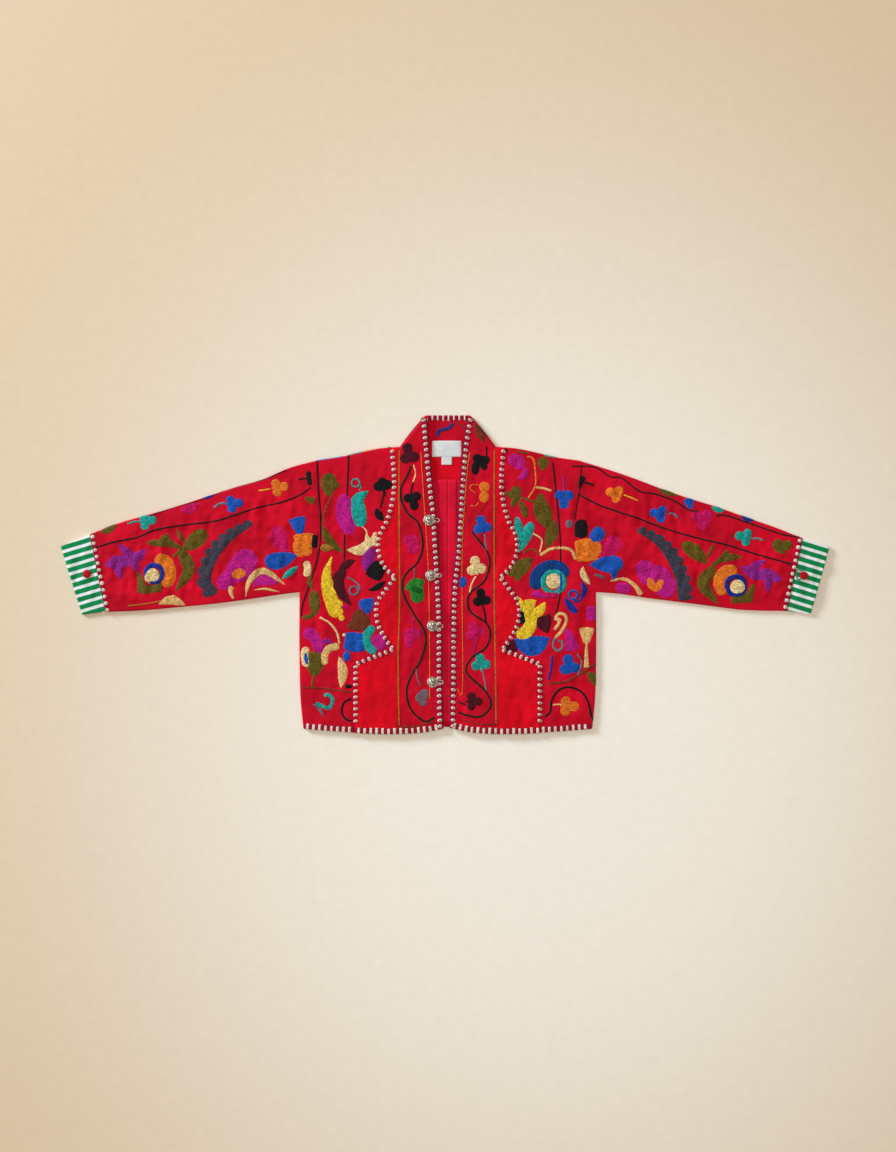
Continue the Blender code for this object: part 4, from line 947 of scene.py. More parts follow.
def sleeve_plan(side, share, across):
    """Out and up on the sleeve: share of its length, and 0 at the upper fold to 1 at the lower."""
    table = SLEEVE[side]
    upper_out, upper_up = curve_through(table, share, 1), curve_through(table, share, 2)
    lower_out, lower_up = curve_through(table, share, 3), curve_through(table, share, 4)
    out = upper_out + (lower_out - upper_out) * across
    up = upper_up + (lower_up - upper_up) * across
    armhole_up = SHOULDER_TIP_UP + (UNDERARM_UP - SHOULDER_TIP_UP) * across
    chord = ARMHOLE[-1][1] + (ARMHOLE[0][1] - ARMHOLE[-1][1]) * across
    bow = (curve_through(ARMHOLE, armhole_up) - chord) * np.clip(1 - share / ARMHOLE_BOW_SPAN, 0, 1) ** 2
    return out + bow + np.where(share == 0, SEAM_GAP * 1.5, 0.0), up


def cuff_plan(side, share, across):
    """Out and up on the cuff, from the sleeve's end to the mouth, a little inside the sleeve's own edges."""
    seam, mouth = np.array(SLEEVE[side][-1][1:]), np.array(CUFF_MOUTH[side])
    upper = seam[:2] + (mouth[:2] - seam[:2]) * share[..., None]
    lower = seam[2:] + (mouth[2:] - seam[2:]) * share[..., None]
    down = lower - upper
    inwards = down / np.linalg.norm(down, axis=-1)[..., None] * CUFF_INSET
    place = upper + inwards + (down - 2 * inwards) * across[..., None]
    along = (mouth[:2] - seam[:2]) / np.linalg.norm(mouth[:2] - seam[:2]) * SEAM_GAP
    return place[..., 0] + (share == 0) * along[0], place[..., 1] + (share == 0) * along[1]


def tube(name, side, plan, shares, widths, drop=0.0):
    """A flattened tube of cloth: over the top from the upper fold, and back along the flat underside."""
    insets = arc_insets(FOLD_RADIUS)[::-1] / widths[:, None]
    first = np.full((len(shares), 1), 1.0) * FOLD_RADIUS / widths[:, None]
    middle = first + (1 - 2 * first) * spaced(0, 1, CLOTH_STEP / widths.mean())[None, :]
    across = np.concatenate([insets, middle, 1 - insets[:, ::-1]], axis=1)
    share = np.repeat(shares[:, None], across.shape[1], axis=1)
    out, up = plan(side, share, across)
    x = BODY_CENTRE_X + side * out
    top, top_inner = wall_skins(x, up, BODY_WALL)
    under, under_inner = wall_skins(x, up, BODY_WALL, under=True)
    for skin in (top, top_inner):
        skin[..., 2] -= drop * smooth_step((skin[..., 2] - FOLD_RADIUS) / FOLD_RADIUS)
    outer = np.concatenate([top, under[:, -2:0:-1]], axis=1)
    inner = np.concatenate([top_inner, under_inner[:, -2:0:-1]], axis=1)
    return shell(name, outer, inner, ring=True), x, up


def sleeve(side):
    """A sleeve as one tube from the armhole to the cuff seam."""
    shares = spaced(0, 1, CLOTH_STEP / 0.42)
    table = SLEEVE[side]
    across = np.hypot(
        curve_through(table, shares, 3) - curve_through(table, shares, 1),
        curve_through(table, shares, 4) - curve_through(table, shares, 2),
    )
    piece, x, up = tube(f"sleeve_shell_{SIDES[side]}", side, sleeve_plan, shares, across)
    dress(piece, f"sleeve_{SIDES[side]}", SLEEVE_COTTON[side])


def cuff(side):
    """A cuff as one tube from the sleeve's end to its open mouth."""
    shares = spaced(0, 1, 0.06)
    mouth = CUFF_MOUTH[side]
    across = np.full(len(shares), math.hypot(mouth[0] - mouth[2], mouth[1] - mouth[3]) - 2 * CUFF_INSET)
    piece, x, up = tube(f"cuff_shell_{SIDES[side]}", side, cuff_plan, shares, across, CUFF_INSET)
    dress(piece, f"cuff_{SIDES[side]}", TWILL[side])


def neck_facing():
    """The plain facing inside the back, below the collar."""
    share, out = np.meshgrid(np.linspace(0, 1, 18), np.linspace(-1, 1, 42) * FACING_HALF_WIDTH, indexing="ij")
    up = FACING_UP + (neck_seam_up(out) - 2 * SEAM_GAP - FACING_UP) * share
    x = BODY_CENTRE_X + out
    floor = BODY_WALL + SEAM_GAP
    ripple = 0.0002 * np.sin(2 * math.pi * (out * 31 + up * 17))
    outer = np.stack([x, up, floor + LINING_WALL + ripple * np.sin(math.pi * share)], axis=-1)
    inner = np.stack([x, up, np.full(x.shape, floor)], axis=-1)
    piece = shell("facing_shell", outer, inner)
    dress(piece, "neck_facing", PLAIN_COTTON)


# The lining's column and row steps, and its upright ripples: height, how many a metre, their sway and fade.
LINING_COLUMN_STEP, PLEAT_COLUMN_STEP, PLEAT_COLUMNS_TO, LINING_ROW_STEP = 0.003, 0.0025, 0.013, 0.006
RIPPLE_HEIGHT, RIPPLES_PER_METRE, RIPPLE_FADE = 0.00035, 52, 0.01
RIPPLE_SWAY, SWAYS_PER_METRE = 0.004, 3.1


def lining():
    """The strip of lining between the fronts: a box pleat, soft upright ripples and a turned lower edge."""
    edges = np.array([0, PLEAT_GROOVE, PLEAT_HALF_WIDTH, PLEAT_HALF_WIDTH + PLEAT_STEP])
    fine = np.concatenate([
        spaced(PLEAT_HALF_WIDTH + LINING_COLUMN_STEP, FACING_HALF_WIDTH, LINING_COLUMN_STEP),
        spaced(LINING_COLUMN_STEP, PLEAT_COLUMNS_TO, PLEAT_COLUMN_STEP)
    ])
    half = np.unique(np.concatenate([edges, fine]))
    outs = np.concatenate([-half[:0:-1], half])
    rows = spaced(LINING_HEM_UP, FACING_UP - SEAM_GAP, LINING_ROW_STEP)
    up, out = np.meshgrid(rows, outs, indexing="ij")
    away = np.abs(out)
    inside = smooth_step((PLEAT_HALF_WIDTH + PLEAT_STEP - away) / PLEAT_STEP)
    pleat = smooth_step(away / PLEAT_GROOVE) * inside
    sway = RIPPLE_SWAY * np.sin(2 * math.pi * up * SWAYS_PER_METRE)
    waves = RIPPLE_HEIGHT * np.sin(2 * math.pi * (out + sway) * RIPPLES_PER_METRE)
    ripple = waves * smooth_step((away - PLEAT_HALF_WIDTH) / RIPPLE_FADE)
    x = BODY_CENTRE_X + out
    floor = BODY_WALL + SEAM_GAP
    outer = np.stack([x, up, floor + LINING_WALL + PLEAT_HEIGHT * pleat + ripple], axis=-1)
    inner = np.stack([x, up, np.full(x.shape, floor)], axis=-1)
    piece = shell("lining_shell", outer, inner)
    dress(piece, "lining", PINK_COTTON)


# A label's grid, how far it bows up, and the step down at its folded ends with their place and width.
LABEL_ROWS, LABEL_COLUMNS, LABEL_BOW = 16, 28, 0.0002
LABEL_FOLD, LABEL_FOLD_FROM, LABEL_FOLD_WIDTH = 0.0003, 0.42, 0.0015


def label(node_name, name):
    """A bare woven label with folded ends, on the box of its solid."""
    low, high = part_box(node_name)
    ups, alongs = np.linspace(low.y, high.y, LABEL_ROWS), np.linspace(low.x, high.x, LABEL_COLUMNS)
    y, x = np.meshgrid(ups, alongs, indexing="ij")
    bow = LABEL_BOW * np.sin(math.pi * (x - low.x) / (high.x - low.x))
    from_middle = np.abs(x - (low.x + high.x) / 2)
    fold = LABEL_FOLD * smooth_step((from_middle - (high.x - low.x) * LABEL_FOLD_FROM) / LABEL_FOLD_WIDTH)
    outer = np.stack([x, y, high.z + bow - fold], axis=-1)
    inner = np.stack([x, y, np.full(x.shape, low.z)], axis=-1)
    piece = shell(name, outer, inner)
    dress(piece, node_name, TAPE)


BUTTON_RINGS, BUTTON_TURNS = 30, 112


def polar_button(name, node_name, material, relief_at):
    """A round button on its solid's box, whose face follows a height over distance and turn."""
    low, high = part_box(node_name)
    centre, radius = (low + high) / 2, (high.x - low.x) / 2
    share, turn = np.meshgrid(
        np.linspace(0, 1, BUTTON_RINGS), np.linspace(0, 2 * math.pi, BUTTON_TURNS, endpoint=False),
        indexing="ij"
    )
    heights = relief_at(share * radius, turn)
    heights *= min(1.0, (high.z - low.z) / heights.max())
    x, y = centre.x + share * radius * np.cos(turn), centre.y + share * radius * np.sin(turn)
    face = np.stack([x, y, low.z + heights], axis=-1).reshape(-1, 3)
    rim = np.arange(BUTTON_TURNS) + (BUTTON_RINGS - 1) * BUTTON_TURNS
    foot = face[rim] * 1.0
    foot[:, :2] = np.array([centre.x, centre.y]) + (foot[:, :2] - [centre.x, centre.y]) * 0.82
    foot[:, 2] = low.z
    count = BUTTON_RINGS * BUTTON_TURNS
    after = np.roll(np.arange(BUTTON_TURNS), -1)
    faces = [list(cell) for cell in grid_faces(BUTTON_RINGS, BUTTON_TURNS, 0, ring=True)[BUTTON_TURNS:, ::-1]]
    faces += [[0, BUTTON_TURNS + k, BUTTON_TURNS + after[k]] for k in range(BUTTON_TURNS)]
    faces += [[rim[k], count + k, count + after[k], rim[after[k]]] for k in range(BUTTON_TURNS)]
    faces += [[count + k for k in reversed(range(BUTTON_TURNS))]]
    used = np.concatenate([face[:1], face[BUTTON_TURNS:], foot])
    shift = BUTTON_TURNS - 1
    faces = [[0 if k < BUTTON_TURNS else k - shift for k in cell] for cell in faces]
    piece = made_mesh(name, used, faces, (used[:, :2] - [centre.x, centre.y]) * 1000)
    piece.data.materials.append(material)
    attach(piece, "root")
    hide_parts(node_name)
    return piece


def beads(distance, turn, ring, count, bead):
    """Heights of a ring of round beads."""
    nearest = (turn * count / (2 * math.pi) + 0.5) % 1 - 0.5
    sideways = nearest * 2 * math.pi / count * distance
    return np.sqrt(np.clip(bead**2 - (distance - ring) ** 2 - sideways**2, 0, None))


# The metal button: its flange and its fall at the rim, dome, ribs, wire ring, granules and top bead.
FLANGE_HEIGHT, RIM_FALL, RIM_FROM, RIM_FADE = 0.0014, 0.0006, 0.0090, 0.0010
DOME_HEIGHT, DOME_RADIUS, RIB_COUNT, RIB_DEPTH, RIB_FROM = 0.0034, 0.0066, 9, 0.12, 0.003
WIRE_HEIGHT, WIRE_RADIUS, WIRE_WIDTH = 0.0007, 0.0071, 0.0005
GRANULE_RING, GRANULE_COUNT, GRANULE_RADIUS = 0.0085, 20, 0.00105
CROWN_RADIUS, CROWN_SHARE = 0.0016, 0.8


def metal_relief(distance, turn):
    """A flat flange with granules and a ribbed dome with a bead on top."""
    flange = FLANGE_HEIGHT - RIM_FALL * smooth_step((distance - RIM_FROM) / RIM_FADE)
    dome = DOME_HEIGHT * np.sqrt(np.clip(1 - (distance / DOME_RADIUS) ** 2, 0, None))
    ribs = 1 + RIB_DEPTH * np.cos(RIB_COUNT * turn) * smooth_step(distance / RIB_FROM)
    wire = WIRE_HEIGHT * np.exp(-((np.abs(distance - WIRE_RADIUS) / WIRE_WIDTH) ** 2))
    granules = beads(distance, turn, GRANULE_RING, GRANULE_COUNT, GRANULE_RADIUS)
    crown = beads(distance, turn, 0.0, 1, CROWN_RADIUS) * CROWN_SHARE
    return flange + dome * ribs + wire + granules + crown


# The cloth button: its dome, the rim it stands on, and the gathers at the rim.
CLOTH_DOME_HEIGHT, CLOTH_DOME_RADIUS, CLOTH_RIM_HEIGHT = 0.0030, 0.0078, 0.0010
GATHER_COUNT, GATHER_HEIGHT, GATHER_FROM, GATHER_FADE = 16, 0.00012, 0.004, 0.003


def cloth_relief(distance, turn):
    """A domed button covered in cloth, with a soft gathered rim."""
    rounded = CLOTH_DOME_HEIGHT * np.sqrt(np.clip(1 - (distance / CLOTH_DOME_RADIUS) ** 2, 0, None))
    gathers = GATHER_HEIGHT * np.cos(GATHER_COUNT * turn)
    return rounded + CLOTH_RIM_HEIGHT + gathers * smooth_step((distance - GATHER_FROM) / GATHER_FADE)


def buttons():
    """The four metal buttons and the small red one on each cuff."""
    for number in range(1, 5):
        polar_button(f"metal_button_{number}", f"button_{number}", SILVER, metal_relief)
    for side in SIDES.values():
        polar_button(
            f"cuff_button_shell_{side}", f"cuff_button_{side}", RED_BUTTON, cloth_relief
        )


FLOOR_SIZE = 9.0
# The floor's colour where it is lightest, and the painted shade that it darkens to towards its edges.
FLOOR_CENTRE, FLOOR_EDGE_PAINTED_SHADE = (0.90, 0.815, 0.680), (0.72, 0.535, 0.345)
CAMERA_HEIGHT, CAMERA_SENSOR, FRAME_HEIGHT = 3.5, 36.0, 1152


def floor():
    """A pale floor with the faint grain of paper and painted shade that darkens it away from an off-centre
    middle.
    """
    half = FLOOR_SIZE / 2
    steps = np.linspace(-half, half, 5)
    y, x = np.meshgrid(steps, steps, indexing="ij")
    points = np.stack([x, y, np.zeros_like(x)], axis=-1).reshape(-1, 3)
    made = made_mesh("floor", points, grid_faces(5, 5))
    material, tree, shader = blank_material("pale_paper_painted_shade", 0.9)
    place = node(tree, "ShaderNodeTexCoord")
    scaled = node(tree, "ShaderNodeMapping")
    scaled.inputs["Scale"].default_value = (0.74, 0.62, 1.0)
    scaled.inputs["Location"].default_value = (-0.16, 0.19, 0.0)
    link(tree, place.outputs["Object"], scaled.inputs["Vector"])
    away = node(tree, "ShaderNodeVectorMath", operation="LENGTH")
    link(tree, scaled.outputs["Vector"], away.inputs[0])
    # Painted shade: the floor's colour darkens with distance from an off-centre middle.
    ramp = node(tree, "ShaderNodeValToRGB")
    ramp.color_ramp.interpolation = "EASE"
    ramp.color_ramp.elements[0].position, ramp.color_ramp.elements[1].position = 0.12, 0.95
    ramp.color_ramp.elements[0].color = (*FLOOR_CENTRE, 1)
    ramp.color_ramp.elements[1].color = (*FLOOR_EDGE_PAINTED_SHADE, 1)
    link(tree, away.outputs["Value"], ramp.inputs["Fac"])
    grain = node(tree, "ShaderNodeTexNoise", in_Scale=60.0, in_Detail=8.0)
    link(tree, place.outputs["Object"], grain.inputs["Vector"])
    spread = node(tree, "ShaderNodeMapRange")
    spread.inputs["To Min"].default_value, spread.inputs["To Max"].default_value = 0.95, 1.05
    link(tree, grain.outputs["Fac"], spread.inputs["Value"])
    tint = node(tree, "ShaderNodeMix", data_type="RGBA", blend_type="MULTIPLY")
    tint.inputs[0].default_value = 1.0
    link(tree, ramp.outputs["Color"], tint.inputs[6])
    link(tree, spread.outputs["Result"], tint.inputs[7])
    link(tree, tint.outputs[2], shader.inputs["Base Color"])
    made.data.materials.append(material)


def area_light(name, place, target, size, power, colour):
    """A square soft light that faces a target."""
    light = bpy.data.lights.new(name, "AREA")
    light.size = size
    light.energy = power
    light.color = colour
    made = bpy.data.objects.new(name, light)
    bpy.context.scene.collection.objects.link(made)
    made.location = place
    direction = Vector(target) - Vector(place)
    made.rotation_euler = direction.to_track_quat("-Z", "Y").to_euler()


# Lights: (name, place, target, size, watts, colour). The sky's colour and strength follow.
LIGHTS = (
    ("key_light", (-5.9, 4.1, 2.2), (0.05, 0.0, 0.0), 1.5, 740, (0.78, 0.96, 1.18)),
    ("top_light", (0.5, -0.4, 4.6), (0.0, 0.0, 0.0), 4.0, 75, (1.0, 0.965, 0.91)),
)
SKY_COLOUR, SKY_STRENGTH = (1.0, 0.965, 0.91, 1), 0.41


def lights():
    """A soft key from the upper left, a weaker broad fill from above and an even sky."""
    for row in LIGHTS:
        area_light(*row)
    world = bpy.data.worlds.new("studio")
    bpy.context.scene.world = world
    world.use_nodes = True
    background = world.node_tree.nodes["Background"]
    background.inputs["Color"].default_value = SKY_COLOUR
    background.inputs["Strength"].default_value = SKY_STRENGTH
    bpy.context.scene.view_settings.view_transform = "Standard"


def camera():
    """Straight above the jacket, framed as the photograph is."""
    x, y = from_photo(448.0, 576.0)
    data = bpy.data.cameras.new("camera")
    data.sensor_width = CAMERA_SENSOR
    data.lens = CAMERA_SENSOR * CAMERA_HEIGHT / (FRAME_HEIGHT * PIXEL)
    made = bpy.data.objects.new("camera", data)
    bpy.context.scene.collection.objects.link(made)
    made.location = (x, y, CAMERA_HEIGHT)
    bpy.context.scene.camera = made


# Embroidery. Wool colours as they look on a screen, 0 to 255.
WOOL = {
    "olive": (104, 84, 18),
    "teal": (30, 160, 146),
    "blue": (24, 84, 176),
    "navy": (28, 44, 138),
    "magenta": (196, 22, 126),
    "purple": (152, 32, 134),
    "orange": (236, 118, 30),
    "yellow": (246, 198, 40),
    "cream": (240, 204, 140),
    "peach": (234, 182, 112),
    "black": (24, 17, 18),
    "maroon": (80, 12, 26),
    "charcoal": (66, 60, 72),
    "green": (40, 124, 38),
    "grey": (120, 96, 104),
    "brown": (120, 52, 26),
    "gold": (176, 118, 32),
    "pink": (206, 10, 88),
    "deep_blue": (14, 62, 128),
    "steel": (96, 122, 138),
    "indigo": (56, 48, 112),
    "vine": (28, 32, 20),
    "dark_green": (20, 88, 20),
}
STITCH_CREAM, STITCH_PINK, CRIMSON = (230, 218, 190), (200, 96, 104), (160, 0, 46)
EMBROIDERY_RISE, EMBROIDERY_SINK = 0.00085, 0.00025
THREAD_RISE = 0.0007
TIER_RISE = 0.00035
ALONG_STEP, ACROSS_STEP = 0.0015, 0.0013
UNDER_STEP = 4
MOST_TURN = 2.2

# Filled motifs: a shape laid along a path of (column, row) places in the photograph, its width in pixels.
# A higher tier lies over a lower one.
MOTIF_COLUMNS = ("colour", "shape", "width", "tier", "path")
RIGHT_SLEEVE_MOTIFS = (
    ("olive", "leaf", 10, 0, ((101, 533), (109, 529), (118, 524))),
    ("pink", "leaf", 12, 0, ((181, 511), (190, 509), (200, 504))),
    ("navy", "leaf", 4, 0, ((202, 499), (209, 497), (216, 494))),
    ("olive", "fan", 10, 0, ((305, 498), (310, 500), (315, 502))),
    ("black", "even", 6, 0, ((308.6, 471), (309.2, 478), (310.4, 486))),
    ("purple", "drop", 13, 0, ((137, 567), (131, 556), (118, 543))),
    ("purple", "leaf", 12, 0, ((147, 549), (138, 557), (124, 566))),
    ("purple", "leaf", 15, 0, ((105, 565), (116, 563), (134, 560))),
    ("purple", "leaf", 11, 0, ((113, 555), (118, 566), (122, 580))),
    ("purple", "leaf", 9, 0, ((130, 556), (135, 564), (139, 572))),
    ("olive", "fan", 13, 0, ((181, 548), (170, 543), (160, 540))),
    ("olive", "leaf", 8, 0, ((167, 546), (157, 543), (147, 543))),
    ("olive", "leaf", 7, 0, ((165, 545), (167, 539), (168, 533))),
    ("olive", "petal", 20, 0, ((182, 550), (194, 542), (207, 531))),
    ("olive", "leaf", 5, 0, ((185, 543), (181, 536), (177, 529))),
    ("olive", "drop", 17, 0, ((180, 549), (189, 569), (176, 592))),
    ("olive", "even", 2.4, 0, ((173, 557), (178, 553), (182, 547))),
    ("orange", "even", 15, 0, ((155, 560), (166, 562), (170, 574), (165, 587))),
    ("olive", "fan", 12, 0, ((138, 572), (142, 583), (143, 593))),
    ("olive", "block", 9, 0, ((141, 590), (152, 589), (163, 587))),
    ("charcoal", "serrated", 20, 0, ((253, 523), (234, 535), (218, 551), (209, 569), (208, 583), (216, 594))),
    ("magenta", "even", 27, 0, ((253, 551), (245, 562), (231, 580))),
    ("magenta", "even", 18, 0, ((240, 566), (230, 577), (219, 588))),
    ("orange", "even", 13, 1, ((232, 576), (238, 574), (243, 573))),
    ("orange", "round", 10, 1, ((236, 570), (241, 572), (245, 577))),
    ("peach", "leaf", 7, 1, ((246, 597), (250, 581), (264, 571), (286, 585))),
    ("magenta", "leaf", 12, 0, ((253, 587), (263, 580), (279, 583))),
    ("peach", "fan", 6, 1, ((234, 599), (231, 592), (232, 586))),
    ("peach", "leaf", 3, 0, ((254, 590), (266, 589), (280, 592))),
    ("teal", "leaf", 6.5, 1, ((282, 579), (290, 573), (298.6, 566))),
    ("blue", "drop", 23, 0, ((265, 560), (277, 561), (298, 555))),
    ("pink", "petal", 21, 0, ((288, 552), (280, 541), (277, 526))),
    ("blue", "fan", 21, 0, ((301, 535), (299, 526), (297, 517))),
    ("orange", "fan", 26, 0, ((309, 556), (305, 545), (304, 533))),
    ("orange", "round", 13, 0, ((297, 540), (299, 548), (302, 557))),
    ("black", "block", 6, 1, ((315.4, 534.5), (315, 541), (314.6, 548))),
    ("cream", "even", 7.5, 1, ((306, 561), (308, 568), (306.6, 577))),
    ("peach", "leaf", 10, 0, ((159, 604), (172, 600), (186, 605))),
    ("peach", "fan", 5, 0, ((174, 602), (174, 598), (175, 595))),
)
LEFT_SLEEVE_MOTIFS = (
    ("olive", "leaf", 7, 0, ((657, 489), (666, 492), (677, 496))),
    ("blue", "fan", 14, 0, ((691, 509), (689, 503), (688, 498))),
    ("teal", "leaf", 8, 0, ((711, 507), (717, 509), (724, 511))),
    ("navy", "leaf", 8, 0, ((740, 515), (747, 518), (755, 520))),
    ("olive", "petal", 15, 0, ((784, 554), (779, 547), (773, 541))),
    ("olive", "petal", 12, 0, ((778, 551), (785, 546), (791, 542))),
    ("black", "fan", 8, 0, ((579, 489), (581, 482), (583, 476))),
    ("charcoal", "serrated_right", 20, 0, ((637, 530), (655, 540), (668, 554), (676, 569), (681, 585),
                                           (682, 601))),
    ("magenta", "even", 21, 0, ((640, 561), (646, 572), (653, 584))),
    ("magenta", "even", 24, 0, ((650, 568), (661, 580), (670, 597))),
    ("orange", "petal", 11, 1, ((656, 592), (652, 585), (648, 577))),
    ("orange", "petal", 11, 1, ((655, 592), (659, 585), (662, 579))),
    ("olive", "petal", 18, 0, ((707, 564), (697, 554), (682, 543))),
    ("olive", "even", 3.4, 0, ((713, 545), (710, 551), (707, 557))),
    ("olive", "leaf", 9, 0, ((714, 566), (724, 558), (742, 557))),
    ("olive", "leaf", 7, 0, ((724, 560), (725, 555), (727, 550))),
    ("olive", "drop", 17, 0, ((714, 567), (703, 584), (718, 604))),
    ("olive", "even", 4.0, 0, ((717, 561), (711, 567), (708, 576))),
    ("orange", "even", 14, 0, ((737, 571), (725, 572), (719, 582), (724, 595))),
    ("olive", "fan", 12, 0, ((754, 584), (749, 594), (747, 602))),
    ("olive", "block", 9, 0, ((752, 598), (741, 599), (730, 599))),
    ("purple", "drop", 13, 0, ((751, 578), (754, 567), (766, 560))),
    ("purple", "leaf", 12, 0, ((740, 567), (750, 572), (762, 580))),
    ("purple", "leaf", 14, 0, ((752, 572), (766, 575), (782, 580))),
    ("purple", "leaf", 10, 0, ((771, 568), (768, 580), (767, 593))),
    ("pink", "petal", 22, 0, ((603, 556), (611, 547), (618, 537))),
    ("blue", "drop", 23, 0, ((623, 563), (612, 564), (589, 565))),
    ("blue", "leaf", 9, 0, ((613, 580), (614, 572), (613, 563))),
    ("grey", "even", 3, 1, ((594, 575), (600, 576), (605, 579))),
    ("cream", "leaf", 7, 1, ((583, 566), (583, 574), (590, 585))),
    ("peach", "fan", 5.5, 1, ((610, 581), (624, 579), (635, 586), (641, 595))),
    ("magenta", "round", 12, 0, ((615, 587), (623, 588), (631, 590))),
    ("orange", "block", 24, 0, ((587, 562), (586, 549), (585, 538.5))),
    ("orange", "round", 14, 0, ((594, 541), (595, 549), (593, 557))),
    ("peach", "leaf", 4, 0, ((653, 600), (658, 601), (664, 603))),
)
RIGHT_FRONT_MOTIFS = (
    ("olive", "petal", 20, 0, ((328, 497), (329, 487), (329, 473))),
    ("olive", "leaf", 10, 0, ((329, 485), (335, 485), (340, 486))),
    ("magenta", "round", 22, 0, ((344, 494), (346, 514), (350, 535))),
    ("teal", "drop", 21, 1, ((362, 527), (358, 511), (359, 499), (369, 491))),
    ("cream", "leaf", 12, 0, ((366, 534), (368, 543), (361, 550), (347, 550))),
    ("black", "leaf", 9, 0, ((376, 508), (379, 515), (384, 521))),
    ("olive", "leaf", 10, 0, ((323, 525), (329, 540), (343, 553))),
    ("gold", "drop", 9, 1, ((320.5, 548), (326, 548), (335, 548))),
    ("cream", "fan", 10, 0, ((376, 532), (374, 539), (372, 546))),
    ("purple", "drop", 18, 0, ((372, 547), (369, 557), (364, 572))),
    ("black", "leaf", 21, 0, ((377, 560), (376, 570), (380, 581))),
    ("black", "leaf", 9, 0, ((365, 574), (376, 572), (386, 572))),
    ("black", "leaf", 7, 0, ((368, 590), (376, 588), (386, 581))),
    ("yellow", "feather", 18, 0, ((332, 556), (327, 574), (330, 594), (339, 617))),
    ("maroon", "drop", 17, 0, ((346, 570), (339, 578), (340, 590), (352, 606))),
    ("maroon", "leaf", 9, 0, ((356, 560), (347, 564), (338, 572))),
    ("blue", "fan", 22, 0, ((359, 602), (367, 605), (373, 607))),
    ("brown", "fan", 28, 0, ((360, 609), (359, 620), (358, 631))),
    ("brown", "leaf", 14, 0, ((359, 615), (365, 622), (370, 627))),
    ("blue", "block", 23, 0, ((356, 632), (355, 642), (354, 652))),
    ("blue", "leaf", 9, 0, ((347, 650), (347, 656), (345.6, 662))),
    ("teal", "even", 9, 1, ((374, 626), (367, 635), (368, 645), (376, 653))),
    ("magenta", "round", 18, 0, ((377, 634), (380, 642), (384, 649))),
    ("olive", "petal", 14, 0, ((312, 618), (315, 608), (314, 590))),
    ("olive", "leaf", 6, 0, ((301, 617), (308, 617), (316, 613))),
    ("magenta", "even", 12, 0, ((304, 637), (311, 633), (317, 642), (321, 653))),
    ("purple", "leaf", 6, 0, ((321, 643), (327, 641), (334, 644))),
    ("olive", "petal", 24, 0, ((314, 677), (315, 665), (315, 651))),
    ("cream", "even", 8, 1, ((308, 647), (305, 654), (307, 667))),
    ("blue", "leaf", 5, 2, ((306, 650), (306, 658), (308, 667))),
    ("peach", "even", 7.4, 1, ((340, 646), (330, 648), (325, 655), (325, 665))),
    ("peach", "leaf", 11, 0, ((339, 656), (343, 671), (341, 688))),
    ("grey", "leaf", 4, 0, ((312, 704), (318, 707), (325, 717))),
    ("black", "even", 4.4, 0, ((345.4, 686.5), (349, 686), (352.4, 686.5))),
    ("pink", "leaf", 4, 0, ((339, 609), (345, 606), (351, 609))),
    ("olive", "leaf", 6, 0, ((313, 590), (310, 581), (313, 574))),
)
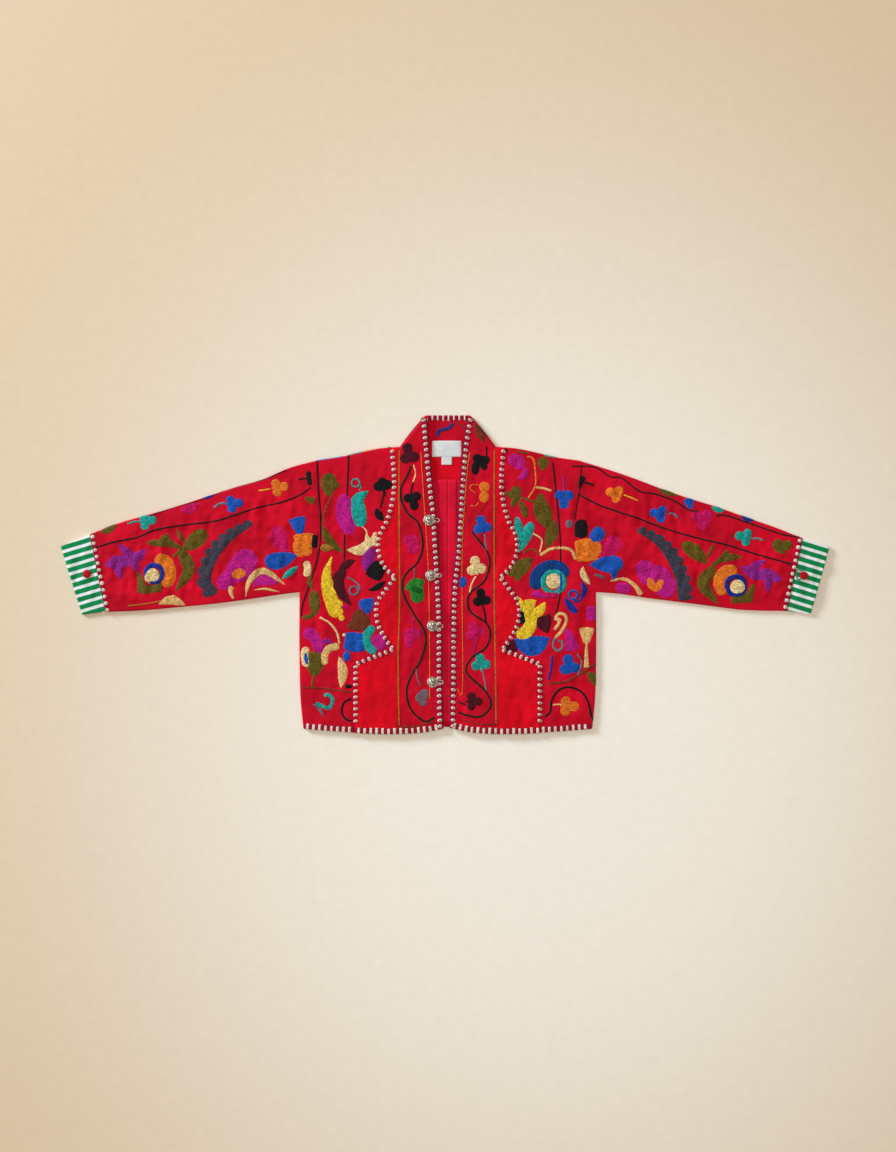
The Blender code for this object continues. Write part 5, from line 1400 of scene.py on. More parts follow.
LEFT_FRONT_MOTIFS = (
    ("magenta", "even", 14, 0, ((508, 459), (516, 461), (523, 468))),
    ("magenta", "leaf", 8, 0, ((523, 466), (525, 474), (517, 480))),
    ("olive", "petal", 14, 0, ((543, 471), (543, 464), (543, 457))),
    ("olive", "petal", 14, 0, ((518, 502), (516, 495), (516, 486))),
    ("olive", "leaf", 8, 0, ((504, 493), (511, 495), (519, 498))),
    ("olive", "leaf", 7, 0, ((517, 497), (514, 502), (512, 508))),
    ("olive", "petal", 9, 0, ((519, 500), (523, 508), (527, 518))),
    ("olive", "even", 2.6, 0, ((520, 498), (528, 500), (537, 503))),
    ("olive", "leaf", 19, 0, ((540.6, 492), (541, 507), (546, 520), (552, 531))),
    ("olive", "leaf", 14, 0, ((547, 516), (552, 530), (546, 549))),
    ("teal", "petal", 11, 0, ((519, 553), (520, 536), (516.5, 517))),
    ("teal", "petal", 14, 0, ((519, 552), (525, 538), (532, 522))),
    ("olive", "leaf", 17, 0, ((508, 576), (520, 568), (533, 558))),
    ("olive", "leaf", 11, 0, ((521, 562), (519, 572), (516, 582))),
    ("olive", "leaf", 8, 0, ((522, 568), (516, 565), (514, 560))),
    ("grey", "round", 9, 0, ((565, 524), (569, 524), (573, 525))),
    ("black", "block", 14.5, 0, ((581, 538), (581, 532), (581, 527))),
    ("black", "round", 14.5, 0, ((581, 519), (581, 526), (581, 534))),
    ("blue", "petal", 18, 0, ((590, 543), (596, 536), (602, 528))),
    ("deep_blue", "even", 13, 0, ((536, 590), (536, 576), (546, 567), (559, 567), (567, 577))),
    ("pink", "round", 9, 1, ((545, 593), (552, 594), (559, 592))),
    ("magenta", "leaf", 8, 0, ((530, 596), (537, 594), (546, 598))),
    ("blue", "even", 2.6, 3, ((560, 573), (560.6, 582), (560, 591))),
    ("yellow", "leaf", 9, 0, ((517, 596), (521, 605), (527, 615))),
    ("yellow", "fan", 14, 0, ((528, 616), (530, 607), (530, 599))),
    ("yellow", "leaf", 11, 0, ((527, 615), (538, 612), (545.5, 602))),
    ("yellow", "even", 13, 1, ((526, 611), (531, 621), (526, 632), (516, 635))),
    ("black", "round", 13, 0, ((518.5, 611), (521.5, 617), (520.5, 624))),
    ("maroon", "fan", 25, 0, ((535, 622), (543, 623), (551, 624))),
    ("maroon", "fan", 15, 0, ((503, 649), (510, 647), (517, 645))),
    ("blue", "leaf", 22, 0, ((514, 639), (531, 646), (550, 638))),
    ("blue", "even", 18, 0, ((524, 645), (532, 647), (540, 645))),
    ("magenta", "fan", 17, 0, ((567, 629), (570, 640), (573, 651))),
    ("peach", "fan", 18.5, 0, ((586.3, 644), (586.3, 635), (586.3, 627))),
    ("peach", "fan", 6, 0, ((586.3, 641), (586.3, 655), (586.3, 668))),
    ("navy", "drop", 10, 0, ((576.6, 613), (571, 607), (564, 597))),
    ("navy", "leaf", 6.5, 0, ((581, 581), (584.4, 590), (580, 600))),
    ("magenta", "block", 11, 0, ((591.5, 606), (591.5, 613), (591, 621))),
    ("olive", "leaf", 10, 0, ((586, 672), (592, 677), (596, 686))),
    ("navy", "even", 2.6, 0, ((552, 655), (551, 667), (548, 680))),
)
BAND_MOTIFS = (
    ("grey", "even", 11, 0, ((428, 690), (421, 697), (416, 700))),
    ("grey", "even", 9, 0, ((420, 698), (423, 702), (424.5, 706))),
    ("black", "even", 10, 0, ((473, 456), (480, 460), (490, 460.4))),
    ("black", "even", 9, 0, ((476.6, 462), (475.4, 468), (475.2, 475))),
    ("black", "even", 8, 0, ((479, 461), (483, 465), (486, 470))),
    ("pink", "even", 12, 0, ((404, 538), (412, 541), (420, 541))),
    ("pink", "even", 14, 0, ((411, 537), (413, 546), (413, 554))),
    ("green", "even", 15, 0, ((415, 580), (417, 591), (418, 603))),
    ("green", "leaf", 14, 0, ((405, 589), (415, 585), (425, 580))),
    ("dark_green", "round", 8, 1, ((411, 587), (417, 590), (423, 592))),
    ("pink", "even", 12, 0, ((404, 633), (413, 634), (422, 633))),
    ("pink", "even", 11, 0, ((409, 633), (409.6, 640), (409, 648))),
    ("pink", "even", 2, 0, ((413, 629), (413, 623), (413.4, 617))),
    ("orange", "round", 11, 0, ((479, 486), (484, 487), (490, 487))),
    ("orange", "round", 10.5, 0, ((484.6, 503), (484, 497), (484, 491))),
    ("blue", "round", 8, 0, ((462.4, 576.5), (463, 582), (461.6, 588))),
    ("brown", "leaf", 9.5, 0, ((474.6, 424), (480, 433), (484, 443))),
)

# Three-lobed motifs: their middle, their size and the way that their stems leave, in degrees from the right.
# Shares of a trefoil's size: how far its lobes and stem reach, their widths, and the lobes' overlap.
SIDE_LOBE_REACH, END_LOBE_REACH, LOBE_WIDTH, LOBE_OVERLAP = 0.52, 0.56, 0.62, 0.1
STEM_REACH, STEM_WIDTH = 0.42, 0.16
TREFOIL_COLUMNS = ("colour", "column", "row", "size", "turn", "spread")
TREFOILS = (
    ("teal", 147, 521, 18, 190, 62),
    ("blue", 234, 504, 18, 190, 62),
    ("orange", 279, 487.5, 18, 190, 62),
    ("orange", 615, 494, 18, -20, 62),
    ("blue", 659, 514, 18, -12, 62),
    ("teal", 744, 537, 18, -12, 62),
    ("pink", 702, 519, 22, -25, 62),
    ("black", 383.5, 488.5, 20, -80, 122),
    ("blue", 564, 498, 20, 88, 62),
    ("blue", 569, 665.7, 21, -80, 62),
    ("orange", 568, 706, 20, 178, 62),
)
BAND_TREFOILS = (
    ("maroon", 409, 454.5, 21, -78, 52),
    ("black", 413, 500, 19, 103, 58),
    ("blue", 482, 526, 19, -78, 62),
    ("cream", 476, 567, 20, -80, 62),
    ("black", 481.5, 598.5, 19, -82, 62),
    ("pink", 475, 632, 20, -70, 76),
    ("teal", 481, 664, 19, -82, 80),
    ("maroon", 472.5, 701, 18, 180, 76),
)

# Rings and discs: a disc has no width of its own.
ROUND_COLUMNS = ("colour", "column", "row", "radius", "width", "tier")
ROUNDS = (
    ("navy", 155, 573.5, 8.4, 5.4, 1),
    ("cream", 152.6, 576, 7.8, 0, 2),
    ("navy", 735.3, 585.6, 9.2, 5.4, 1),
    ("cream", 737.4, 587.4, 7.8, 0, 2),
    ("teal", 553.6, 582, 10.6, 5.4, 1),
    ("cream", 553.6, 581, 8.0, 0, 2),
    ("yellow", 342, 618, 3.0, 0, 1),
    ("blue", 573, 594.8, 4.2, 2.4, 1),
    ("teal", 356, 483.2, 4.0, 1.7, 1),
    ("steel", 354, 590.6, 4.2, 1.8, 1),
    ("cream", 344.4, 635, 1.9, 0, 1),
)

# Couched threads: stems, scrolls, vines and border lines, with their width in pixels.
LINE_COLUMNS = ("colour", "width", "path")
LINES = (
    ("black", 2.0, ((95, 548), (115, 542), (137, 537.6), (156, 530), (182, 525.4), (214, 521.4), (233, 516),
                    (255, 508.6), (284, 501.6), (303, 493.5), (311.4, 487))),
    ("black", 1.3, ((150, 516), (176, 507), (197, 501), (218, 493.6), (226, 489), (245, 484.6), (264, 479.6),
                    (275, 475), (287, 470))),
    ("black", 2.0, ((317.3, 460), (318.6, 487), (320.6, 516), (320.6, 540), (317.7, 559), (311, 581),
                    (303, 604), (301, 617))),
    ("teal", 2.2, ((140, 521), (134, 522), (127.5, 524))),
    ("steel", 2.4, ((228, 504), (221, 503.6), (214, 508))),
    ("yellow", 1.5, ((271, 488.8), (265, 490), (259, 490.8))),
    ("black", 2.2, ((308, 479), (304, 478.6), (298.6, 480))),
    ("gold", 1.5, ((128, 606), (146, 604), (162, 601))),
    ("black", 2.0, ((348.8, 454), (348, 475), (347, 497))),
    ("black", 1.7, ((344.6, 534), (344.4, 548), (344.5, 560))),
    ("olive", 1.6, ((332, 495), (325.4, 511), (323.5, 525))),
    ("black", 2.0, ((383.6, 495), (382, 502), (380, 509))),
    ("steel", 2.0, ((347.4, 577), (354, 580.6), (358.6, 584.6), (359.8, 589), (357, 594))),
    ("cream", 2.4, ((320, 617), (330, 623), (337, 632), (340, 644))),
    ("olive", 2.6, ((314, 676), (313, 681), (312.6, 687))),
    ("brown", 1.8, ((302, 687.4), (321, 688), (336, 690), (352, 692))),
    ("teal", 4.2, ((324, 695.6), (329, 694.6), (333, 700), (329.4, 707.6), (323, 706), (316, 702.6))),
    ("black", 2.6, ((352, 698), (344.6, 702), (341.8, 710), (345, 718), (352, 721))),
    ("teal", 1.6, ((359.6, 481), (361, 487), (359, 491))),
    ("cream", 1.9, ((361.6, 526), (366, 530), (367.6, 536))),
    ("black", 1.9, ((552.4, 462), (554.7, 480), (557.4, 508), (560, 540), (560.4, 571))),
    ("black", 1.9, ((561, 590), (558.6, 602), (555.6, 614))),
    ("orange", 2.2, ((527, 456.5), (533, 459), (535.2, 471), (535.2, 486), (528, 498.4))),
    ("peach", 2.8, ((535.2, 487.4), (543, 488.4), (551.6, 491))),
    ("olive", 1.8, ((523, 553), (532, 549), (539.5, 555))),
    ("cream", 2.0, ((533, 533.6), (541.6, 540), (539.6, 553))),
    ("peach", 3.4, ((540, 555.6), (549.4, 549.6), (560, 548), (571, 550.4), (575.6, 560))),
    ("purple", 1.9, ((563.8, 491), (563.7, 482), (563.4, 475))),
    ("peach", 3.8, ((554, 630), (557.6, 625), (559.6, 619.6), (555.6, 619), (558.4, 613.8),
                    (564.5, 614.8), (566.2, 621), (561.5, 630.6), (554.8, 638))),
    ("steel", 2.6, ((556, 636), (553, 645), (557.2, 650.4), (562, 647.4), (561.8, 641.6), (557.6, 640.6))),
    ("steel", 1.9, ((577, 653.6), (581.4, 662), (577.8, 675))),
    ("brown", 2.4, ((546.3, 683.3), (563.3, 682), (575.4, 677.2), (585, 670.6), (595.6, 663.3))),
    ("peach", 1.6, ((562, 704), (557, 704.2), (552.4, 704.6))),
    ("black", 2.6, ((544.5, 716.6), (550, 711.6), (551.2, 701), (557.2, 691), (568, 687), (580.2, 691),
                    (587.5, 701), (591, 715), (593.6, 720))),
    ("black", 1.9, ((571, 466.4), (594, 467.2), (609.6, 476.7), (621.7, 478.4), (638.9, 491.3), (654.4, 494),
                    (673.3, 500.8), (688.8, 510.3), (698, 511))),
    ("black", 1.9, ((714.7, 516.3), (725, 515.4), (750.8, 524), (781.8, 534.4), (800, 537))),
    ("black", 2.0, ((577, 494), (601, 506), (638.9, 519), (666.4, 529.2), (699.2, 538.7), (725, 544.7),
                    (752.5, 553.3), (776.7, 560.2), (792, 564.5))),
    ("black", 1.4, ((581, 466), (579, 490), (574, 520))),
    ("black", 2.6, ((583, 482), (588, 483.6), (594, 485.6))),
    ("yellow", 1.5, ((623, 495), (631, 498), (638, 501))),
    ("steel", 2.2, ((668, 514), (673, 513.6), (678, 518.6))),
    ("teal", 2.0, ((752, 538.6), (758, 538.6), (763, 541))),
    ("navy", 3.0, ((573, 601), (578, 601.4), (582, 598))),
    ("blue", 2.4, ((317, 460.4), (330, 458), (344, 455.6))),
    ("steel", 2.4, ((349, 454.8), (356, 453.2), (363, 452))),
    ("orange", 2.0, ((364, 451.6), (370, 450.4), (376, 449.4))),
    ("teal", 2.6, ((544, 455), (550, 456), (556, 457))),
    ("olive", 1.6, ((517, 452), (523, 453), (529, 453.6))),
    ("black", 4.0, ((504, 450.4), (506, 450.6), (508, 451))),
    ("black", 3.0, ((387.6, 447.6), (389.6, 447.2), (391.4, 447))),
)
BAND_LINES = (
    ("vine", 2.5, ((411.5, 465.4), (407.7, 475), (401.5, 487.4), (401.5, 499.8), (407.7, 513.2),
                   (417.2, 521.8), (422, 535.2), (422.5, 549.6), (417.2, 563), (408, 571.6), (403, 580.5),
                   (403.7, 594), (414, 614), (423.7, 629), (425.8, 641.6), (420.5, 660.5), (411, 676.3),
                   (406.8, 690), (409, 704.7), (416.3, 715.3), (425.8, 721), (435, 717))),
    ("vine", 2.5, ((471.7, 531.4), (476.6, 538), (485.3, 548.8), (489.8, 562), (484.5, 580.6), (471, 592),
                   (467.6, 601.5), (471, 612.4), (485.7, 622.7), (490.2, 634), (485.7, 647.5), (472.4, 657),
                   (466.3, 667), (468.8, 675.4), (483.3, 688.7), (490.6, 701), (488, 710.6), (478.5, 716.6),
                   (466.3, 714.8), (458, 711.6))),
    ("brown", 0.9, ((488, 500), (478, 514), (472, 528))),
    ("gold", 1.5, ((399.6, 450), (399.4, 520), (399.8, 600), (398.4, 660), (399.4, 726))),
    ("gold", 1.5, ((494.4, 450), (494.2, 520), (494.4, 600), (495.6, 680), (496, 724))),
    ("brown", 1.5, ((400, 727), (416, 725.6), (435, 721.4))),
    ("brown", 1.3, ((463, 719), (478, 724), (495, 724))),
    ("orange", 0.9, ((421, 452), (424, 500), (428, 560), (429.5, 620), (430, 700))),
    ("orange", 0.9, ((470, 452), (467, 475), (463, 530), (462, 580), (462.6, 687), (456.6, 688))),
    ("peach", 1.9, ((413.8, 465), (415.6, 474), (412.8, 483))),
    ("black", 2.0, ((413.4, 482), (411.4, 490), (411, 494))),
    ("grey", 1.7, ((421, 686), (417.6, 678), (416, 667))),
    ("grey", 1.4, ((414.4, 568), (414.6, 574), (414.2, 579))),
    ("steel", 2.0, ((484.7, 534), (485.4, 543), (485.8, 551))),
    ("cream", 2.0, ((476, 576), (471.6, 584), (469.6, 593))),
    ("black", 2.0, ((486.4, 458), (486.4, 452), (486.2, 446))),
    ("black", 2.4, ((483.3, 606), (484.8, 614), (486.2, 623))),
    ("purple", 1.2, ((476, 639), (474.8, 647), (472.4, 655))),
    ("steel", 1.8, ((482.7, 671), (484.6, 681), (486.3, 690))),
    ("maroon", 2.4, ((466, 704.4), (461.6, 703), (458, 701))),
    ("orange", 1.2, ((479, 485), (472.3, 485), (470.2, 489), (476, 493.4))),
    ("orange", 1.2, ((479.4, 502), (475.5, 506), (470, 505.6))),
)
COLLAR_LINES = (
    ("indigo", 4.4, ((453.4, 423), (448.6, 428.4), (440, 430.6), (437, 437))),
    ("brown", 1.6, ((456, 422.5), (461, 425.6), (465.8, 428.4))),
)


def screen_colour(colour):
    """A linear colour from one given as it looks on a screen."""
    shares = [channel / 255 for channel in colour]
    return tuple(s / 12.92 if s <= 0.04045 else ((s + 0.055) / 1.055) ** 2.4 for s in shares)


def smooth_path(points, step):
    """Even places along a smooth curve through points, with the distance run at each."""
    points = np.asarray(points, float)
    if len(points) == 2:
        line = points[0] + (points[1] - points[0]) * np.linspace(0, 1, 9)[:, None]
    else:
        ends = np.concatenate([[2 * points[0] - points[1]], points, [2 * points[-1] - points[-2]]])
        t = np.linspace(0, 1, 13)[:-1, None]
        pieces = []
        for a, b, c, d in zip(ends, ends[1:], ends[2:], ends[3:]):
            square, cube = 2 * a - 5 * b + 4 * c - d, 3 * b - a - 3 * c + d
            pieces.append(0.5 * (2 * b + (c - a) * t + square * t**2 + cube * t**3))
        line = np.concatenate([*pieces, points[-1:]])
    run = np.concatenate([[0], np.cumsum(np.linalg.norm(np.diff(line, axis=0), axis=1))])
    count = max(int(round(run[-1] / step)), 5) + 1
    places = np.linspace(0, run[-1], count)
    return np.stack([np.interp(places, run, line[:, 0]), np.interp(places, run, line[:, 1])], axis=1), places


def shape_widths(shape, share, length, width):
    """Shares of the full half width to the left and to the right of a motif's path."""
    ends = np.minimum(share, 1 - share) * length / (width / 2)
    capped = np.sqrt(np.clip(1 - (1 - np.clip(ends, 0, 1)) ** 2, 0, 1))
    cornered = np.sqrt(np.clip(1 - (1 - np.clip(ends / CORNER_SHARE, 0, 1)) ** 2, 0, 1))
    pointed = np.sin(math.pi * share) ** 0.85
    if shape == "even":
        return capped, capped
    if shape == "ring":
        return np.ones_like(share), np.ones_like(share)
    if shape == "block":
        return cornered, cornered
    if shape == "fan":
        full = cornered * (0.34 + 0.66 * share)
        return full, full
    if shape == "round":
        full = np.sqrt(np.clip(1 - (2 * share - 1) ** 2, 0, 1))
        return full, full
    if shape == "drop":
        full = np.sqrt(np.clip(share, 0, 1)) * (1 - share) ** 0.9 * 2.02
        return full, full
    if shape == "petal":
        full = np.sqrt(np.clip(1 - share, 0, 1)) * share ** 0.75 * 2.02
        return full, full
    grown = np.clip(share / 0.45, 0, 1) ** 0.7 * np.minimum(capped + (share < 0.5), 1)
    if shape == "feather":
        waved = 1 + 0.16 * np.sin(2 * math.pi * share * length / FEATHER_WAVE)
        return grown * waved * (0.62 + 0.38 * share), grown * (0.62 + 0.38 * share)
    blunt = (0.5 + 0.5 * np.clip(share / 0.45, 0, 1)) * cornered
    teeth = blunt * (0.62 + 0.52 * np.abs(np.sin(math.pi * share * length / TOOTH)) ** 0.6)
    if shape == "serrated":
        return blunt * 0.48, teeth
    if shape == "serrated_right":
        return teeth, blunt * 0.48
    return pointed, pointed


CORNER_SHARE, FEATHER_WAVE, TOOTH = 0.3, 0.022, 0.0165
LEAST_HALF_WIDTH = 0.00012


def grid_corners(rows, columns):
    """The four corners of each face of a grid, as rows and columns."""
    return [
        ((i, j), (i, j + 1), (i + 1, j + 1), (i + 1, j))
        for i in range(rows - 1) for j in range(columns - 1)
    ]


class Patches:
    """Crowned patches of wool, gathered by colour, each closed below by a coarser skin inside the cloth."""

    def __init__(self):
        """Starts with no parts."""
        self.parts = {}

    def add(self, colour, x, y, height, uv, level):
        """Adds a grid of places with heights above the cloth; level is a height or a function of place."""
        level = level(x, y) if callable(level) else np.full(x.shape, level)
        self.parts.setdefault(colour, []).append((x, y, height, uv, level))

    def stroke(self, colour, path, width, shape="leaf", rise=EMBROIDERY_RISE, tier=0, level=0.0):
        """A patch along a path, in metres."""
        line, run = smooth_path(path, ALONG_STEP)
        share = run / run[-1]
        tangent = np.gradient(line, axis=0)
        tangent /= np.linalg.norm(tangent, axis=1)[:, None]
        left, right = shape_widths(shape, share, run[-1], width)
        left = np.maximum(left * width / 2, LEAST_HALF_WIDTH)
        right = np.maximum(right * width / 2, LEAST_HALF_WIDTH)
        columns = int(np.clip(round(width / ACROSS_STEP), 4, 21)) // 2 * 2 + 1
        across = np.linspace(-1, 1, columns)
        offset = np.where(across < 0, across * right[:, None], across * left[:, None])
        x = line[:, :1] - tangent[:, 1:] * offset
        y = line[:, 1:] + tangent[:, :1] * offset
        full = np.clip((left + right) / (0.8 * width), 0, 1)[:, None] ** 0.5
        crown = (1 - np.abs(across) ** 3.0)[None, :]
        height = -EMBROIDERY_SINK + (rise * full + EMBROIDERY_SINK) * crown + tier * TIER_RISE * full
        uv = np.stack([np.repeat(run[:, None], columns, axis=1), offset + width], axis=-1)
        self.add(colour, x, y, height, uv, level)

    def meshes(self, prefix, finish):
        """Makes one object of each colour's patches."""
        for colour, parts in self.parts.items():
            columns, uvs, faces, first = [], [], [], 0
            for x, y, height, uv, level in parts:
                inner = slice(UNDER_STEP, x.shape[1] - 1, UNDER_STEP)
                sunk = np.full(x[:, inner].shape, -EMBROIDERY_SINK)
                top = first + np.arange(x.size).reshape(x.shape)
                low = first + x.size + np.arange(sunk.size).reshape(sunk.shape)
                under = np.concatenate([top[:, :1], low, top[:, -1:]], axis=1)[:, ::-1]
                for grid in (top, under):
                    faces += [[grid[i, j] for i, j in corners] for corners in grid_corners(*grid.shape)]
                faces.append([*top[0, ::-1], *low[0]])
                faces.append([*top[-1], *low[-1, ::-1]])
                for grid, lower in ((x, x), (y, y), (height, None), (level, level)):
                    columns.append((grid, sunk if lower is None else lower[:, inner]))
                uvs += [uv.reshape(-1, 2), uv[:, inner].reshape(-1, 2)]
                first += x.size + sunk.size
            flat = [
                np.concatenate([grid.ravel() for pair in columns[k::4] for grid in pair]) for k in range(4)
            ]
            turned = [face[::-1] for face in faces]
            piece = made_mesh(f"{prefix}_{colour}", laid(*flat), turned, np.concatenate(uvs))
            piece.data.materials.append(finish(colour))
            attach(piece, "root")


def laid(x, y, height, level):
    """Points over the upper layer; what passes a folded edge is rolled round it."""
    signed, fold_y, in_x, in_y = nearest_fold(x, y)
    radius = fold_radius(fold_y)
    level = level * smooth_step(np.maximum(signed, 0) / BAND_LIFT_SPAN)
    turn = np.clip((radius - signed) / radius, 0, MOST_TURN)
    away = radius + height + level
    shift = np.where(turn > 0, radius - away * np.sin(turn) - signed, 0.0)
    flat = flat_height(x, y, np.maximum(signed, radius), fold_y) + level + height
    z = np.where(turn > 0, radius + away * np.cos(turn), flat)
    return np.stack([x + in_x * shift, y + in_y * shift, np.maximum(z, 0.0004)], axis=-1)


def surface_height(x, y):
    """Height of the upper layer's own surface."""
    return laid(x, y, np.zeros_like(x), np.zeros_like(x))[..., 2]


def collar_surface(x, y):
    """The back of the collar lies flat, with its inside up."""
    return np.full(np.shape(x), COLLAR_WALL)


def collar_level(x, y):
    """How far the collar's surface lies below the upper layer's."""
    return collar_surface(x, y) - surface_height(x, y)


def photo_path(path):
    """A path of (column, row) places as places in the plan."""
    return [from_photo(column, row) for column, row in path]


def add_motifs(patches, table, level=0.0):
    """Adds the filled shapes of one table."""
    for row in table:
        motif = dict(zip(MOTIF_COLUMNS, row))
        patches.stroke(motif["colour"], photo_path(motif["path"]), motif["width"] * PIXEL, motif["shape"],
                       tier=motif["tier"], level=level)


def add_trefoils(patches, table, level=0.0):
    """Three round lobes about a middle, and a short stem on the side that the turn gives."""
    for row in table:
        motif = dict(zip(TREFOIL_COLUMNS, row))
        centre = np.array(from_photo(motif["column"], motif["row"]))
        size = motif["size"] * PIXEL
        side_lobe, spread = SIDE_LOBE_REACH, motif["spread"]
        for lobe, reach in ((spread, side_lobe), (180, END_LOBE_REACH), (-spread, side_lobe)):
            angle = math.radians(motif["turn"] + lobe)
            direction = np.array([math.cos(angle), math.sin(angle)])
            lobe_path = [centre - direction * size * LOBE_OVERLAP, centre + direction * size * reach]
            patches.stroke(motif["colour"], lobe_path, size * LOBE_WIDTH, "petal", level=level)
        angle = math.radians(motif["turn"])
        stem = np.array([math.cos(angle), math.sin(angle)])
        stem_path = [centre - stem * size * LOBE_OVERLAP, centre + stem * size * STEM_REACH]
        patches.stroke(motif["colour"], stem_path, size * STEM_WIDTH, "even", level=level)


def add_rounds(patches):
    """Adds the rings and round spots."""
    for row in ROUNDS:
        motif = dict(zip(ROUND_COLUMNS, row))
        x, y = from_photo(motif["column"], motif["row"])
        radius = motif["radius"] * PIXEL
        if motif["width"] == 0:
            patches.stroke(motif["colour"], [(x - radius, y), (x + radius, y)], 2 * radius, "round",
                           tier=motif["tier"])
            continue
        turns = np.linspace(0, 2 * math.pi, 19)
        path = [(x + radius * math.cos(turn), y + radius * math.sin(turn)) for turn in turns]
        patches.stroke(motif["colour"], path, motif["width"] * PIXEL, "ring", tier=motif["tier"])


def add_lines(patches, table, level=0.0):
    """Adds the couched threads of one table."""
    for row in table:
        motif = dict(zip(LINE_COLUMNS, row))
        patches.stroke(motif["colour"], photo_path(motif["path"]), motif["width"] * PIXEL, "even",
                       rise=THREAD_RISE, level=level)


def wool(colour):
    """The material of one colour of embroidery wool."""
    return thread(f"wool_{colour}", screen_colour(WOOL[colour]), contrast=0.9)


def embroidery():
    """All embroidery on the fronts and sleeves, and then on the bands."""
    patches = Patches()
    for table in (RIGHT_SLEEVE_MOTIFS, LEFT_SLEEVE_MOTIFS, RIGHT_FRONT_MOTIFS, LEFT_FRONT_MOTIFS):
        add_motifs(patches, table)
    add_trefoils(patches, TREFOILS)
    add_rounds(patches)
    add_lines(patches, LINES)
    add_motifs(patches, BAND_MOTIFS, LAYER_LIFT)
    add_trefoils(patches, BAND_TREFOILS, LAYER_LIFT)
    add_lines(patches, BAND_LINES, LAYER_LIFT)
    add_lines(patches, COLLAR_LINES, collar_level)
    patches.meshes("embroidery", wool)


# Edge sewing: cream stitches on a crimson binding.
OVAL_LENGTH, OVAL_WIDTH, OVAL_RISE = 0.0086, 0.0060, 0.0011
OVAL_DOT_SHARE, OVAL_DOT_WIDTH = 0.55, 0.62
STITCH_PITCH = 0.0108
BINDING_WIDTH, SCALLOP_BINDING_WIDTH, BINDING_RISE = 0.0092, 0.0078, 0.00045
BAR_WIDTH, BAR_REACH, BAR_RISE = 0.0060, 0.0088, 0.0010
SQUARE_SIZE, SQUARE_PITCH, CUFF_BINDING_WIDTH = 0.0072, 0.0122, 0.0094
SQUARE_RISE, SQUARE_DOT_WIDTH = 0.0009, 0.3
STITCH_TILT, STITCH_JITTER = 0.22, 0.0005
RIM_TURNS, RIM_END_SPAN, RIM_UNDER = 5, 0.0018, 0.004
WRAP_LOWEST, WRAP_SINK = 0.0002, 0.0004
COLLAR_BARS_FROM, COLLAR_BARS_TO, COLLAR_BARS_UP = 0.040, -0.036, 0.2846
COLLAR_BAR_WIDTH, COLLAR_BAR_PITCH, COLLAR_BAR_REACH = 0.0040, 0.0097, 0.0082
NEAT_SEED = 11
CHANCE = np.random.default_rng(NEAT_SEED)

THREAD_COLOURS = {"stitch_cream": STITCH_CREAM, "stitch_pink": STITCH_PINK, "binding_crimson": CRIMSON,
                  "loop_grey": (178, 170, 160), "loop_green": (60, 150, 100)}


# How far outside the overlay's edge its lift ends, and over what width it falls away.
OVERLAY_LIFT_END, OVERLAY_LIFT_FADE = 0.0030, 0.0035


def overlay_level(x, y):
    """How far the overlay lifts what lies across its scalloped edge, falling away just outside it."""
    beyond = np.abs(x - BODY_CENTRE_X) - overlay_out(y)
    return LAYER_LIFT * smooth_step((OVERLAY_LIFT_END - beyond) / OVERLAY_LIFT_FADE)


# An oval stitch row's first place as a share of its pitch, and how much single stitches differ.
OVAL_START, OVAL_TURN_JITTER, OVAL_SHORTEST, OVAL_LONGEST = 0.4, 0.12, 0.94, 1.06
SEAM_STEP = 0.001


def oval_stitches(patches, path, level, tilt=STITCH_TILT):
    """Oval stitches across a path, each with a pinkish middle."""
    line, run = smooth_path(path, SEAM_STEP)
    tangent = np.gradient(line, axis=0)
    tangent /= np.linalg.norm(tangent, axis=1)[:, None]
    for place in np.arange(STITCH_PITCH * OVAL_START, run[-1], STITCH_PITCH):
        place += CHANCE.uniform(-STITCH_JITTER, STITCH_JITTER)
        centre = np.array([np.interp(place, run, line[:, k]) for k in (0, 1)])
        along = np.array([np.interp(place, run, tangent[:, k]) for k in (0, 1)])
        slant = tilt + CHANCE.uniform(-OVAL_TURN_JITTER, OVAL_TURN_JITTER)
        across = np.array([-along[1], along[0]]) + along * slant
        across /= np.linalg.norm(across)
        reach = across * OVAL_LENGTH / 2 * CHANCE.uniform(OVAL_SHORTEST, OVAL_LONGEST)
        oval = [centre - reach, centre + reach]
        patches.stroke("stitch_cream", oval, OVAL_WIDTH, "round", OVAL_RISE, 1, level)
        dot, dot_width = reach * OVAL_DOT_SHARE, OVAL_WIDTH * OVAL_DOT_WIDTH
        patches.stroke("stitch_pink", [centre - dot, centre + dot], dot_width, "round", OVAL_RISE, 2, level)


def binding(patches, path, width, level):
    """Adds a flat strip of crimson binding along a path."""
    patches.stroke("binding_crimson", path, width, "ring", BINDING_RISE, 0, level)


def band_edge_path(side, inset):
    """Places along a band's free edge, from the hem up to the collar's top."""
    ups = np.linspace(-0.2765, COLLAR_TOP[1] - 0.003, 60)
    out = band_edge_out(side, ups) + inset
    return np.stack([BODY_CENTRE_X + side * out, ups], axis=1)


def scallop_paths(side):
    """Places along the overlay's edge: lower block, step and each scallop, meeting at sharp corners."""
    paths = []
    for stretch in OVERLAY_OUTLINE:
        ups = np.linspace(stretch[0][0], stretch[-1][0], max(int(len(stretch) * 4), 6))
        ups = ups[(ups > LOWEST_HEM_UP + 0.006) & (ups < NECK_POINT[1] - 0.003)]
        outs = np.array([float(curve_through(stretch, up)) for up in ups])
        paths.append(np.stack([BODY_CENTRE_X + side * outs, ups], axis=1))
    return paths


